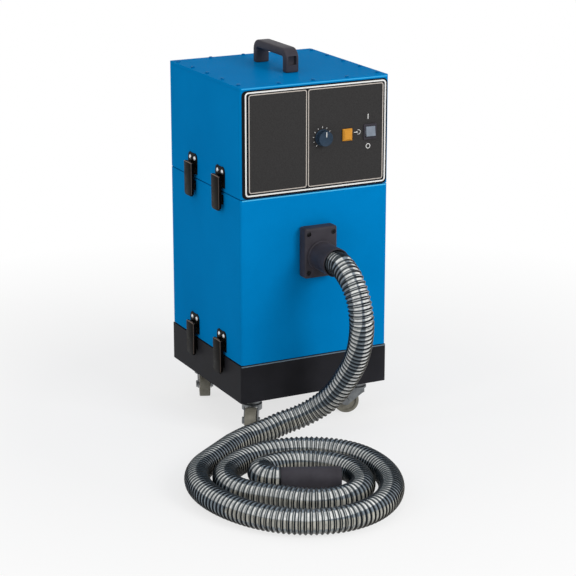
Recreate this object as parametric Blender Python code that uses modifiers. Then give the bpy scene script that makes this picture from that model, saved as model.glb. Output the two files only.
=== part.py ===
"""Mobile welding fume extractor: a steel cabinet on swivel casters, in three latched sections, with a hose.

Metres, +Z up. The front faces -Y, the floor is z = 0, and the origin is under the middle of the machine.
"""

import math

import bmesh
import bpy
import numpy as np
from mathutils import Matrix, Vector

# Clearances shared by all pieces
gap = 0.0003
overrun = 0.002
weld = 0.00001

# Cabinet: three sheet steel sections, one on top of the other
case_width = 0.306
case_depth = 0.314
caster_height = 0.070
base_height = 0.074
filter_height = 0.319
head_height = 0.207
sheet = 0.0015
corner_radius = 0.004
rim_width = 0.012
base_proud = 0.0015
seam_gap = 0.002
seam_recess = 0.003
gasket_width = 0.007
lid_lip = 0.0055

# Carry handle: a moulded arch along the depth of the lid
handle_length = 0.140
handle_height = 0.045
handle_width = 0.027
handle_strap = 0.011
handle_leg = 0.015
handle_outer_radius = 0.016
handle_inner_radius = 0.007
handle_edge = 0.003
handle_back = 0.006

# Control panel and what is set in it, from the middle of the panel
panel_width = 0.300
panel_thickness = 0.001
panel_radius = 0.008
panel_margin = 0.0005
knob_x = 0.014
knob_z = 0.0
knob_radius = 0.0145
knob_skirt_radius = 0.0155
knob_depth = 0.015
knob_skirt_depth = 0.003
knob_grip_radius = 0.0125
pointer_width = 0.0016
pointer_depth = 0.0006
shaft_radius = 0.003
bush_radius = 0.0045
bush_length = 0.003
control_radius = 0.012
control_depth = 0.014
lamp_x = 0.065
lamp_z = 0.0005
lamp_width = 0.020
lamp_height = 0.0225
lamp_depth = 0.006
lamp_slope = 0.003
lamp_stem_width = 0.015
lamp_stem_height = 0.017
lamp_stem_depth = 0.016
switch_x = 0.113
switch_z = 0.002
bezel_width = 0.027
bezel_height = 0.029
bezel_depth = 0.0025
switch_body_width = 0.024
switch_body_height = 0.0256
switch_body_depth = 0.018
rocker_width = 0.019
rocker_height = 0.0192
rocker_front = 0.004
rocker_back = 0.003
rocker_axis_depth = 0.001
rocker_pin_radius = 0.001
rocker_pin_reach = 0.001
rocker_room = 0.0006
rocker_tilt = math.radians(8)

# Inlet flange with its hose socket, on the front of the filter housing
inlet_z = 0.347
flange_rise = 0.0055
flange_width = 0.067
flange_height = 0.096
flange_depth = 0.025
flange_radius = 0.005
flange_edge = 0.003
socket_radius = 0.027
socket_length = 0.060
hose_grip = 0.024
baffle_width = 0.120
baffle_height = 0.130
baffle_stand = 0.020

# Filter cartridge, hung under the motor deck on its tie rod
cartridge_radius = 0.108
cartridge_height = 0.235
cap_thickness = 0.010
cap_opening_radius = 0.062
pleat_count = 20
pleat_outer_radius = 0.103
pleat_depth = 0.016
pleat_core_radius = 0.074
rod_radius = 0.004
rod_head_radius = 0.0075
rod_head_height = 0.005
nut_radius = 0.014
nut_height = 0.010
rod_tail = 0.006

# Motor deck, blower and exhaust in the head
deck_thickness = 0.002
deck_hole_radius = 0.040
deck_bar_width = 0.016
casing_radius = 0.090
casing_height = 0.052
casing_wall = 0.002
casing_outlet_width = 0.060
casing_outlet_height = 0.030
impeller_radius = 0.080
impeller_plate = 0.002
blade_count = 9
blade_height = 0.022
blade_thickness = 0.002
blade_inner_radius = 0.038
blade_lift = 0.009
blade_sweep = math.radians(30)
hub_radius = 0.012
motor_shaft_radius = 0.004
motor_shaft_length = 0.030
motor_radius = 0.058
motor_height = 0.080
motor_crown_share = 0.6
motor_waist_share = 0.85
motor_shoulder_share = 0.9
motor_base_share = 0.2
motor_bore_radius = 0.0043
grille_width = 0.200
grille_height = 0.120
grille_thickness = 0.002
grille_slots = 7
grille_slot_share = 0.55
grille_border = 0.010
grille_rise = 0.012
foam_thickness = 0.012
power_x = 0.105
power_rise = 0.024
power_width = 0.048
power_height = 0.028
power_flange_depth = 0.003
power_body_width = 0.0275
power_body_height = 0.021
power_body_depth = 0.020
power_wall = 0.002
power_blade_width = 0.002
power_blade_height = 0.004
power_blade_length = 0.012
power_blade_pitch = 0.007

# Over-centre latches: two on each side of each seam, sizes measured outwards from the section above
latch_front_y = -0.071
latch_rear_y = 0.052
latch_plate = 0.0012
latch_plate_width = 0.040
latch_plate_top = 0.048
latch_plate_bottom = 0.008
lobe_radius = 0.010
lobe_dip = math.radians(60)
latch_pivot_out = 0.0085
latch_pivot_up = 0.026
ear_y = 0.0125
ear_thickness = 0.0015
ear_radius = 0.0022
pin_radius = 0.0009
pin_room = 0.0003
lever_width = 0.033
lever_top = 0.0048
lever_bottom = 0.061
lever_skin_in = 0.0025
lever_skin = 0.0013
lever_flange_in = 0.0033
lever_flange = 0.0015
lug_y = 0.0100
lug_thickness = 0.0012
lug_radius = 0.0015
crank = 0.004
hook_width = 0.019
hook_thickness = 0.0012
hook_eye_radius = 0.0019
hook_eye_open = math.radians(55)
hook_eye_close = math.radians(145)
hook_pin_radius = 0.0008
claw_out = 0.0046
keeper_top = 0.0060
keeper_lip = 0.0060
keeper_bottom = 0.024
keeper_width = 0.024
claw_overlap = 0.0022

# Swivel casters
caster_inset_x = 0.040
caster_inset_rear_x = 0.047
caster_inset_y = 0.040
caster_plate = 0.060
caster_plate_thickness = 0.0025
race_radius = 0.018
race_lip_radius = 0.0165
crown_thickness = 0.0027
crown_drop = 0.016
hood_radius = 0.0195
hood_depth = 0.011
hood_room = 0.0008
wheel_radius = 0.025
wheel_width = 0.021
wheel_hub_radius = 0.009
wheel_web_radius = 0.019
wheel_recess = 0.003
wheel_edge = 0.003
wheel_bore_radius = 0.0043
axle_radius = 0.004
axle_head_radius = 0.0068
axle_head_depth = 0.003
caster_trail = 0.020
fork_leg = 0.002
fork_room = 0.0012
fork_eye_radius = 0.009
fork_top_half = 0.013
fork_eye_rise = math.radians(20)

# Hose: clear ribbed tube on a wire helix, its tail over the plug, and the cuff that is plugged into its end
hose_radius = 0.0235
hose_root_radius = 0.0218
hose_bore_radius = 0.019
hose_rib_pitch = 0.021
hose_bore_step = 0.034
hose_bore_turn = math.radians(16)
tail_break_share = 0.62
socket_room = 0.0006
cuff_radius = 0.0205
cuff_length = 0.098
cuff_plug = 0.036
cuff_wall = 0.0025

# Route of the hose lead between its straight ends, chosen by hand
lead_route = [
    (0.000, -0.257, 0.3295),
    (0.002, -0.272, 0.311),
    (0.004, -0.282, 0.290),
    (0.006, -0.285, 0.270),
    (0.009, -0.283, 0.249),
    (0.013, -0.270, 0.208),
    (0.014, -0.250, 0.168),
    (0.007, -0.228, 0.130),
    (-0.001, -0.213, 0.105),
    (-0.013, -0.197, 0.082),
    (-0.028, -0.184, 0.066),
    (-0.047, -0.174, 0.053),
    (-0.068, -0.167, 0.044),
    (-0.090, -0.163, 0.038),
    (-0.130, -0.164, 0.028),
    (-0.168, -0.171, 0.0240),
]

# Coil on the floor: a nearly round turn, a second one inside it that is pressed flat at its front, a return
# bend that rises, and a straight end
coil_x = -0.1855
coil_y = -0.3999
coil_radius = 0.1723
coil_oval = (-0.0092, -0.0030)
coil_lobes = (0.0012, 0.0028)
coil_start = math.radians(123.1)
coil_step = 0.050
coil_step_from = math.radians(375.0)
coil_step_to = math.radians(489.0)
coil_pinch = 0.042
coil_pinch_at = math.radians(603.0)
coil_draw = 0.0575
coil_draw_from = math.radians(705.5)
coil_draw_to = math.radians(834.0)
coil_end = math.radians(830.5)
coil_bend_radius = 0.032
coil_end_heading = math.radians(335.7)
coil_rise = 0.006
coil_rise_length = 0.200
coil_points_per_turn = 48

# Places that follow from the sizes
front = -case_depth / 2
rear = case_depth / 2
flange_face = gap + flange_depth
machine_front = front - flange_face - socket_length
machine_rear = rear + gap + power_flange_depth
case_y = -(machine_front + machine_rear) / 2
z_base = caster_height
z_seam_low = z_base + base_height
z_seam_high = z_seam_low + filter_height
z_top = z_seam_high + head_height
z_lid = z_top - lid_lip
z_head = z_seam_high + seam_gap / 2
panel_height = z_lid - z_head - 2 * panel_margin
panel_z = (z_lid + z_head) / 2
panel_out = gap + panel_thickness
inner_width = case_width - 2 * sheet
inner_depth = case_depth - 2 * sheet


def new_collection(name):
    found = bpy.data.collections.new(name)
    bpy.context.scene.collection.children.link(found)
    return found


for old in list(bpy.data.objects):
    bpy.data.objects.remove(old, do_unlink=True)
parts = new_collection("fume_extractor")
cutters = new_collection("cutters")


def finish(name, colour, roughness, metallic=0.0):
    made = bpy.data.materials.new(name)
    made.use_nodes = True
    shader = made.node_tree.nodes["Principled BSDF"]
    shader.inputs["Base Color"].default_value = (*colour, 1.0)
    shader.inputs["Roughness"].default_value = roughness
    shader.inputs["Metallic"].default_value = metallic
    made.diffuse_color = (*colour, 1.0)
    return made


blue_paint = (0.0, 0.20, 0.52)
black_paint = (0.018, 0.018, 0.02)
black_plastic = (0.035, 0.034, 0.036)
grey_rubber = (0.06, 0.056, 0.06)
bright_zinc = (0.62, 0.63, 0.64)
wheel_grey = (0.20, 0.19, 0.155)
clear_hose = (0.35, 0.38, 0.42)
filter_paper = (0.72, 0.68, 0.58)


def keep(name, mesh, material, at=(0, 0, 0), turn=0.0, parent=None, smooth=True):
    """A node of the machine, at its place."""
    mesh.name = name
    mesh.materials.clear()
    mesh.materials.append(material)
    made = bpy.data.objects.new(name, mesh)
    made.location = at
    made.rotation_euler[2] = turn
    made.parent = parent
    parts.objects.link(made)
    if smooth:
        mesh.shade_smooth()
        mesh.set_sharp_from_angle(angle=math.radians(35))
    return made


def combine(target, mesh, operation, name):
    """Cuts a shape from a node, or fuses one to it. The shape is in the node's own axes."""
    helper = bpy.data.objects.new(f"{target.name}_{name}", mesh)
    helper.parent = target
    helper.hide_render = True
    helper.display_type = "WIRE"
    cutters.objects.link(helper)
    modifier = target.modifiers.new(name, "BOOLEAN")
    modifier.operation = operation
    modifier.solver = "EXACT"
    modifier.object = helper


def cut(target, mesh, name):
    combine(target, mesh, "DIFFERENCE", name)


def fuse(target, mesh, name):
    combine(target, mesh, "UNION", name)


def evaluated_mesh(helper):
    """The welded mesh of a helper object, which is then removed."""
    parts.objects.link(helper)
    graph = bpy.context.evaluated_depsgraph_get()
    mesh = bpy.data.meshes.new_from_object(helper.evaluated_get(graph))
    bpy.data.objects.remove(helper, do_unlink=True)
    shape = bmesh.new()
    shape.from_mesh(mesh)
    bmesh.ops.remove_doubles(shape, verts=shape.verts, dist=weld)
    shape.to_mesh(mesh)
    shape.free()
    return mesh


def moved(mesh, matrix):
    mesh.transform(matrix)
    return mesh


def shifted(mesh, x=0.0, y=0.0, z=0.0):
    return moved(mesh, Matrix.Translation((x, y, z)))


# Turns that stand a flat outline up: facing the front (-Y), or facing the right side (+X)
upright = Matrix.Rotation(math.pi / 2, 4, "X")
sideways = Matrix(((0, 0, 1, 0), (1, 0, 0, 0), (0, 1, 0, 0), (0, 0, 0, 1)))
along_x = Matrix.Rotation(math.pi / 2, 4, "Y")


def block(low, high):
    shape = bmesh.new()
    bmesh.ops.create_cube(shape, size=1)
    size = Vector(high) - Vector(low)
    middle = (Vector(high) + Vector(low)) / 2
    bmesh.ops.scale(shape, vec=size, verts=shape.verts)
    bmesh.ops.translate(shape, vec=middle, verts=shape.verts)
    mesh = bpy.data.meshes.new("block")
    shape.to_mesh(mesh)
    shape.free()
    return mesh


def rod(radius, low, high, sides=16, end_radius=None):
    """A cylinder or cone along Z. With an even number of sides it has a flat down."""
    shape = bmesh.new()
    other = radius if end_radius is None else end_radius
    bmesh.ops.create_cone(
        shape, cap_ends=True, segments=sides, radius1=radius, radius2=other, depth=high - low
    )
    bmesh.ops.translate(shape, vec=(0, 0, (low + high) / 2), verts=shape.verts)
    mesh = bpy.data.meshes.new("rod")
    shape.to_mesh(mesh)
    shape.free()
    return moved(mesh, Matrix.Rotation(math.pi / sides, 4, "Z"))


def arc(x, y, radius, start, end, steps):
    angles = np.linspace(start, end, steps + 1)
    return [(x + radius * math.cos(a), y + radius * math.sin(a)) for a in angles]


def rounded(width, height, radius, steps=3):
    """The outline of a rectangle with round corners, centred."""
    x, y = width / 2 - radius, height / 2 - radius
    corners = [(x, y), (-x, y), (-x, -y), (x, -y)]
    points = []
    for number, (cx, cy) in enumerate(corners):
        start = number * math.pi / 2
        points += arc(cx, cy, radius, start, start + math.pi / 2, steps)
    return points


def rectangle(width, height, x=0.0, y=0.0):
    w, h = width / 2, height / 2
    return [(x - w, y - h), (x + w, y - h), (x + w, y + h), (x - w, y + h)]


def plate(loops, low, high):
    """A flat outline, with any holes in it, filled and extruded along Z."""
    curve = bpy.data.curves.new("plate", "CURVE")
    curve.dimensions = "2D"
    curve.fill_mode = "BOTH"
    curve.extrude = (high - low) / 2
    for loop in loops:
        spline = curve.splines.new("POLY")
        spline.points.add(len(loop) - 1)
        for point, (x, y) in zip(spline.points, loop):
            point.co = (x, y, 0, 1)
        spline.use_cyclic_u = True
    helper = bpy.data.objects.new("plate", curve)
    return shifted(evaluated_mesh(helper), z=(low + high) / 2)


def lathe(profile, steps):
    """A turned shape about Z, from (radius, z) points that run down its outer side."""
    mesh = bpy.data.meshes.new("lathe")
    edges = [(n, n + 1) for n in range(len(profile) - 1)]
    mesh.from_pydata([(r, 0, z) for r, z in profile], edges, [])
    helper = bpy.data.objects.new("lathe", mesh)
    screw = helper.modifiers.new("turn", "SCREW")
    screw.steps = steps
    screw.render_steps = steps
    screw.use_merge_vertices = True
    screw.merge_threshold = weld
    return evaluated_mesh(helper)


def group(meshes):
    """Several shapes as one mesh, each still a body of its own."""
    shape = bmesh.new()
    for mesh in meshes:
        shape.from_mesh(mesh)
        bpy.data.meshes.remove(mesh)
    mesh = bpy.data.meshes.new("group")
    shape.to_mesh(mesh)
    shape.free()
    return mesh


def bevelled(target, width):
    bevel = target.modifiers.new("edges", "BEVEL")
    bevel.width = width
    bevel.segments = 1
    bevel.limit_method = "ANGLE"
    bevel.angle_limit = math.radians(60)


def section(name, proud, low, high, material, closed_below=False, closed_above=False):
    """A sheet steel section of the cabinet, with rims turned in around its mouths."""
    width, depth = case_width + 2 * proud, case_depth + 2 * proud
    outer = plate([rounded(width, depth, corner_radius)], low, high)
    made = keep(name, outer, material, at=(0, case_y, 0))
    w, d = width / 2 - sheet, depth / 2 - sheet
    cut(made, block((-w, -d, low + sheet), (w, d, high - sheet)), "cavity")
    w, d = w - rim_width, d - rim_width
    if not closed_below:
        cut(made, block((-w, -d, low - overrun), (w, d, low + sheet + overrun)), "lower_mouth")
    if not closed_above:
        cut(made, block((-w, -d, high - sheet - overrun), (w, d, high + overrun)), "upper_mouth")
    return made


# Materials of the nodes
paint = finish("blue_paint", blue_paint, 0.42)
black = finish("black_paint", black_paint, 0.45)
moulded = finish("black_plastic", black_plastic, 0.5)
rubber = finish("grey_rubber", grey_rubber, 0.6)
foam_rubber = finish("foam_rubber", black_paint, 0.95)
zinc = finish("bright_zinc", bright_zinc, 0.3, 1.0)
polyurethane = finish("wheel_grey", wheel_grey, 0.55)
panel_finish = finish("panel_black", black_plastic, 0.35)
knob_finish = finish("knob_blue_grey", (0.03, 0.04, 0.06), 0.45)
lens_finish = finish("lamp_amber", (0.9, 0.42, 0.02), 0.25)
hose_finish = finish("hose_clear", clear_hose, 0.2)
paper = finish("filter_paper", filter_paper, 0.9)
galvanised = finish("galvanised_steel", bright_zinc, 0.5, 1.0)
aluminium = finish("cast_aluminium", bright_zinc, 0.4, 1.0)
latch_finish = finish("latch_black", black_paint, 0.3, 0.4)

# Cabinet sections
base_tray = section(
    "base_tray", base_proud, z_base, z_seam_low - seam_gap / 2, black, closed_below=True
)
filter_housing = section(
    "filter_housing", 0.0, z_seam_low + seam_gap / 2, z_seam_high - seam_gap / 2, paint
)
motor_housing = section("motor_housing", 0.0, z_head, z_lid - gap, paint)

lid_outline = rounded(case_width, case_depth, corner_radius)
top_cover = keep("top_cover", plate([lid_outline], z_lid, z_top), paint, at=(0, case_y, 0))
lid_room = block(
    (-inner_width / 2, -inner_depth / 2, z_lid - overrun), (inner_width / 2, inner_depth / 2, z_top - sheet)
)
cut(top_cover, lid_room, "underside")

gasket_outer = (case_width - 2 * seam_recess, case_depth - 2 * seam_recess)
for name, z in (("lower_gasket", z_seam_low), ("upper_gasket", z_seam_high)):
    outer = rounded(*gasket_outer, corner_radius, 1)
    inner = rounded(*(size - 2 * gasket_width for size in gasket_outer), corner_radius, 1)
    ring = plate([outer, inner], z - seam_gap / 2 + gap, z + seam_gap / 2 - gap)
    keep(name, ring, foam_rubber, at=(0, case_y, 0))


def facing_front(mesh, x, out, z):
    """A shape made along Z, turned to face the front, out from the front wall, in the case's axes."""
    return shifted(moved(mesh, upright), x, front - out, z)


# Carry handle
half = handle_length / 2
shoulder = handle_height - handle_outer_radius
handle_outline = (
    [(half, 0)]
    + arc(half - handle_outer_radius, shoulder, handle_outer_radius, 0, math.pi / 2, 4)
    + arc(handle_outer_radius - half, shoulder, handle_outer_radius, math.pi / 2, math.pi, 4)
    + [(-half, 0), (handle_leg - half, 0)]
    + arc(
        handle_leg - half + handle_inner_radius,
        handle_height - handle_strap - handle_inner_radius,
        handle_inner_radius,
        math.pi,
        math.pi / 2,
        3,
    )
    + arc(
        half - handle_leg - handle_inner_radius,
        handle_height - handle_strap - handle_inner_radius,
        handle_inner_radius,
        math.pi / 2,
        0,
        3,
    )
    + [(half - handle_leg, 0)]
)
handle_mesh = moved(plate([handle_outline], -handle_width / 2, handle_width / 2), sideways)
handle = keep("carry_handle", handle_mesh, moulded, at=(0, case_y + handle_back, z_top + gap))
bevelled(handle, handle_edge)

# Control panel
panel_frame = rounded(panel_width, panel_height, panel_radius)
shaft_hole = arc(knob_x, knob_z, bush_radius + gap, 0, 2 * math.pi, 12)[:-1]
lamp_hole = rectangle(lamp_stem_width + 2 * gap, lamp_stem_height + 2 * gap, lamp_x, lamp_z)
switch_hole = rectangle(switch_body_width + 2 * gap, switch_body_height + 2 * gap, switch_x, switch_z)
panel_holes = [shaft_hole, lamp_hole, switch_hole]
panel_mesh = moved(plate([panel_frame] + panel_holes, 0, panel_thickness), upright)
keep("control_panel", panel_mesh, panel_finish, at=(0, case_y + front - gap, panel_z))
for name, outline in (("shaft_hole", shaft_hole), ("lamp_hole", lamp_hole), ("switch_hole", switch_hole)):
    hole = plate([outline], -sheet - overrun, overrun)
    cut(motor_housing, facing_front(hole, 0, 0, panel_z), name)

panel_place = Vector((0, case_y + front - panel_out, panel_z))
knob_place = panel_place + Vector((knob_x, 0, knob_z))
lamp_place = panel_place + Vector((lamp_x, 0, lamp_z))
switch_place = panel_place + Vector((switch_x, 0, switch_z))

# Speed knob on its shaft, and the control behind the panel
control_seat = -(panel_out + sheet + gap)
bush_end = bush_length
control_mesh = rod(control_radius, control_seat - control_depth, control_seat, sides=16)
control = keep("speed_control", moved(control_mesh, upright), moulded, at=knob_place)
bush = rod(bush_radius, control_seat - control_depth / 2, bush_end, sides=12)
fuse(control, moved(bush, upright), "bush")
shaft_room = shaft_radius + gap
shaft_bore = rod(shaft_room, control_seat - control_depth / 2 - overrun, bush_end + overrun, sides=12)
cut(control, moved(shaft_bore, upright), "shaft_bore")

knob_base = gap
knob_profile = [
    (0, knob_depth),
    (knob_grip_radius, knob_depth),
    (knob_radius, knob_skirt_depth),
    (knob_skirt_radius, knob_skirt_depth),
    (knob_skirt_radius, knob_base),
    (bush_radius + 2 * gap, knob_base),
    (bush_radius + 2 * gap, bush_end + gap),
    (shaft_radius, bush_end + gap),
    (shaft_radius, control_seat - control_depth / 2),
    (0, control_seat - control_depth / 2),
]
knob = keep("speed_knob", moved(lathe(knob_profile, 16), upright), knob_finish, at=knob_place)
pointer = block(
    (-pointer_width / 2, 0, knob_depth - overrun),
    (pointer_width / 2, knob_grip_radius, knob_depth + pointer_depth),
)
fuse(knob, moved(pointer, upright), "pointer")

# Filter lamp
lamp_body = plate([rectangle(lamp_width, lamp_height)], gap, lamp_depth)
lamp = keep("filter_lamp", moved(lamp_body, upright), lens_finish, at=lamp_place, smooth=False)
lamp_stem = plate([rectangle(lamp_stem_width, lamp_stem_height)], -lamp_stem_depth, lamp_depth / 2)
fuse(lamp, moved(lamp_stem, upright), "stem")
lamp_bevel = lamp.modifiers.new("lens", "BEVEL")
lamp_bevel.width = lamp_slope
lamp_bevel.segments = 1
lamp_bevel.limit_method = "WEIGHT"
weights = lamp.data.attributes.new("bevel_weight_edge", "FLOAT", "EDGE")
for edge in lamp.data.edges:
    ends = [lamp.data.vertices[n].co for n in edge.vertices]
    on_face = all(abs(end.y + lamp_depth) < weld for end in ends)
    weights.data[edge.index].value = 1.0 if on_face else 0.0
lamp.modifiers.move(1, 0)

# Power switch: bezel with its body, and the rocker in it
bezel_mesh = plate([rounded(bezel_width, bezel_height, bezel_depth, 2)], gap, bezel_depth)
bezel = keep("switch_bezel", moved(bezel_mesh, upright), moulded, at=switch_place)
body = plate([rectangle(switch_body_width, switch_body_height)], -switch_body_depth, bezel_depth / 2)
fuse(bezel, moved(body, upright), "body")
room_width, room_height = rocker_width + 2 * rocker_room, rocker_height + 2 * rocker_room
rocker_axis = bezel_depth - rocker_axis_depth
rocker_reach = math.hypot(rocker_back, rocker_height / 2)
room_depth = rocker_axis - rocker_reach * math.sin(math.atan(2 * rocker_back / rocker_height) + rocker_tilt)
room = plate([rectangle(room_width, room_height)], room_depth - rocker_room, bezel_depth + overrun)
cut(bezel, moved(room, upright), "rocker_room")
pin_reach = room_width / 2 + rocker_pin_reach
pin_hole = moved(rod(rocker_pin_radius + gap, -pin_reach - gap, pin_reach + gap, sides=8), along_x)
cut(bezel, shifted(pin_hole, y=-rocker_axis), "pin_holes")

rocker_place = switch_place + Vector((0, -rocker_axis, 0))
rocker_body = block(
    (-rocker_width / 2, -rocker_front, -rocker_height / 2), (rocker_width / 2, rocker_back, rocker_height / 2)
)
tilted = Matrix.Rotation(-rocker_tilt, 4, "X")
rocker = keep("power_rocker", moved(rocker_body, tilted), moulded, at=rocker_place, smooth=False)
pin = rod(rocker_pin_radius, -pin_reach + gap, pin_reach - gap, sides=8)
fuse(rocker, moved(pin, along_x), "pins")

# Inlet flange with its socket, the opening behind it, and the baffle inside
flange_z = inlet_z + flange_rise
flange_mesh = moved(plate([rounded(flange_width, flange_height, flange_radius, 2)], 0, flange_depth), upright)
flange = keep("inlet_flange", flange_mesh, moulded, at=(0, case_y + front - gap, flange_z))
bevelled(flange, flange_edge)
socket_end = flange_depth + socket_length
socket = rod(socket_radius, flange_depth / 2, socket_end, sides=20)
fuse(flange, shifted(moved(socket, upright), z=-flange_rise), "socket")
grip_radius = hose_radius + socket_room
grip = rod(grip_radius, socket_end - hose_grip, socket_end + overrun, sides=20)
cut(flange, shifted(moved(grip, upright), z=-flange_rise), "hose_seat")
airway = rod(hose_bore_radius, -overrun, socket_end, sides=16)
cut(flange, shifted(moved(airway, upright), z=-flange_rise), "airway")
wall_airway = rod(hose_bore_radius, -sheet - overrun, overrun, sides=16)
cut(filter_housing, facing_front(wall_airway, 0, 0, inlet_z), "airway")
wall_inside = case_y + front + sheet + gap
baffle_outer = block(
    (-baffle_width / 2, 0, -baffle_height / 2), (baffle_width / 2, baffle_stand, baffle_height / 2)
)
baffle = keep("inlet_baffle", baffle_outer, galvanised, at=(0, wall_inside, flange_z), smooth=False)
half_room = baffle_width / 2 - sheet
baffle_room = block(
    (-half_room, -overrun, -baffle_height / 2 - overrun),
    (half_room, baffle_stand - sheet, baffle_height / 2 + overrun),
)
cut(baffle, baffle_room, "room")

# Motor deck on the lower rim of the head, with the bar that carries the tie rod
deck_z = z_head + sheet + gap
deck_loops = [rectangle(inner_width - 2 * gap, inner_depth - 2 * gap)]
deck_loops.append(arc(0, 0, deck_hole_radius, 0, 2 * math.pi, 20)[:-1])
deck = keep("motor_deck", plate(deck_loops, 0, deck_thickness), galvanised, at=(0, case_y, deck_z))
bar = deck_hole_radius + sheet
fuse(deck, block((-bar, -deck_bar_width / 2, 0), (bar, deck_bar_width / 2, deck_thickness)), "bar")
cut(deck, rod(rod_radius + 2 * gap, -overrun, deck_thickness + overrun, sides=8), "rod_hole")
deck_top = deck_z + deck_thickness

# Filter cartridge under the deck, and the tie rod with its nut
cartridge_top = z_head - gap
cartridge_low = cartridge_top - cartridge_height


def pleats(radius, depth):
    """The zigzag outline of the pleated paper, in and out once for each pleat."""
    points = []
    for n in range(2 * pleat_count):
        r = radius if n % 2 == 0 else radius - depth
        a = math.pi * n / pleat_count
        points.append((r * math.cos(a), r * math.sin(a)))
    return points


core = arc(0, 0, pleat_core_radius, 0, 2 * math.pi, 20)[:-1]
folds = [pleats(pleat_outer_radius, pleat_depth), core]
media = plate(folds, cap_thickness / 2, cartridge_height - cap_thickness / 2)
cartridge = keep("filter_cartridge", media, paper, at=(0, case_y, cartridge_low), smooth=False)
rim = arc(0, 0, cartridge_radius, 0, 2 * math.pi, 24)[:-1]
top_opening = arc(0, 0, cap_opening_radius, 0, 2 * math.pi, 16)[:-1]
fuse(cartridge, plate([rim, top_opening], cartridge_height - cap_thickness, cartridge_height), "top_cap")
rod_opening = arc(0, 0, rod_radius + gap, 0, 2 * math.pi, 8)[:-1]
fuse(cartridge, plate([rim, rod_opening], 0, cap_thickness), "bottom_cap")

nut_top = cartridge_low - gap
rod_profile = [
    (0, deck_top + gap + rod_head_height),
    (rod_head_radius, deck_top + gap + rod_head_height),
    (rod_head_radius, deck_top + gap),
    (rod_radius, deck_top + gap),
    (rod_radius, nut_top),
    (nut_radius, nut_top),
    (nut_radius, nut_top - nut_height),
    (rod_radius, nut_top - nut_height),
    (rod_radius, nut_top - nut_height - rod_tail),
    (0, nut_top - nut_height - rod_tail),
]
keep("filter_tie_rod", lathe(rod_profile, 8), zinc, at=(0, case_y, 0))

# Blower: casing on the deck, impeller and its shaft, motor on top
casing_profile = [
    (motor_bore_radius, casing_height),
    (casing_radius, casing_height),
    (casing_radius, 0),
    (casing_radius - casing_wall, 0),
    (casing_radius - casing_wall, casing_height - casing_wall),
    (motor_bore_radius, casing_height - casing_wall),
    (motor_bore_radius, casing_height),
]
casing_z = deck_top + gap
casing = keep("blower_casing", lathe(casing_profile, 20), aluminium, at=(0, case_y, casing_z))
outlet = block(
    (-casing_outlet_width / 2, casing_radius / 2, casing_height / 2 - casing_outlet_height / 2),
    (casing_outlet_width / 2, casing_radius + overrun, casing_height / 2 + casing_outlet_height / 2),
)
cut(casing, outlet, "outlet")

impeller_profile = [
    (0, motor_shaft_length + blade_height),
    (motor_shaft_radius, motor_shaft_length + blade_height),
    (motor_shaft_radius, blade_height + impeller_plate),
    (impeller_radius, blade_height + impeller_plate),
    (impeller_radius, blade_height),
    (hub_radius, blade_height),
    (hub_radius, 0),
    (0, 0),
]
impeller_z = casing_z + blade_lift
impeller = keep("impeller", lathe(impeller_profile, 16), aluminium, at=(0, case_y, impeller_z))
for n in range(blade_count):
    blade = block(
        (blade_inner_radius, -blade_thickness / 2, 0),
        (impeller_radius - blade_thickness, blade_thickness / 2, blade_height + impeller_plate / 2),
    )
    swept = Matrix.Translation((blade_inner_radius, 0, 0)) @ Matrix.Rotation(-blade_sweep, 4, "Z")
    swept = swept @ Matrix.Translation((-blade_inner_radius, 0, 0))
    around = Matrix.Rotation(2 * math.pi * n / blade_count, 4, "Z")
    fuse(impeller, moved(blade, around @ swept), f"blade_{n + 1}")

motor_z = casing_z + casing_height + gap
motor_profile = [
    (0, motor_height),
    (motor_radius * motor_crown_share, motor_height),
    (motor_radius * motor_waist_share, motor_height * motor_shoulder_share),
    (motor_radius * motor_waist_share, motor_height * motor_base_share),
    (motor_radius, motor_height * motor_base_share),
    (motor_radius, 0),
    (motor_bore_radius, 0),
    (motor_bore_radius, motor_height / 2),
    (0, motor_height / 2),
]
keep("motor_can", lathe(motor_profile, 16), aluminium, at=(0, case_y, motor_z))

# Exhaust: opening in the rear wall, foam inside it, grille outside
grille_z = panel_z + grille_rise
opening_width, opening_height = grille_width - 2 * grille_border, grille_height - 2 * grille_border
cut(
    motor_housing,
    block(
        (-opening_width / 2, rear - sheet - overrun, grille_z - opening_height / 2),
        (opening_width / 2, rear + overrun, grille_z + opening_height / 2),
    ),
    "exhaust_opening",
)
slot_pitch = opening_height / grille_slots
grille_loops = [rounded(grille_width, grille_height, grille_border / 2)]
for n in range(grille_slots):
    slot_z = (n + 0.5) * slot_pitch - opening_height / 2
    grille_loops.append(rectangle(opening_width - grille_border, slot_pitch * grille_slot_share, 0, slot_z))
grille_mesh = moved(plate(grille_loops, -grille_thickness, 0), upright)
keep("exhaust_grille", grille_mesh, black, at=(0, case_y + rear + gap, grille_z))
foam_mesh = block(
    (-grille_width / 2, -foam_thickness, -grille_height / 2), (grille_width / 2, 0, grille_height / 2)
)
keep("exhaust_foam", foam_mesh, foam_rubber, at=(0, case_y + rear - sheet - gap, grille_z), smooth=False)

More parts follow.
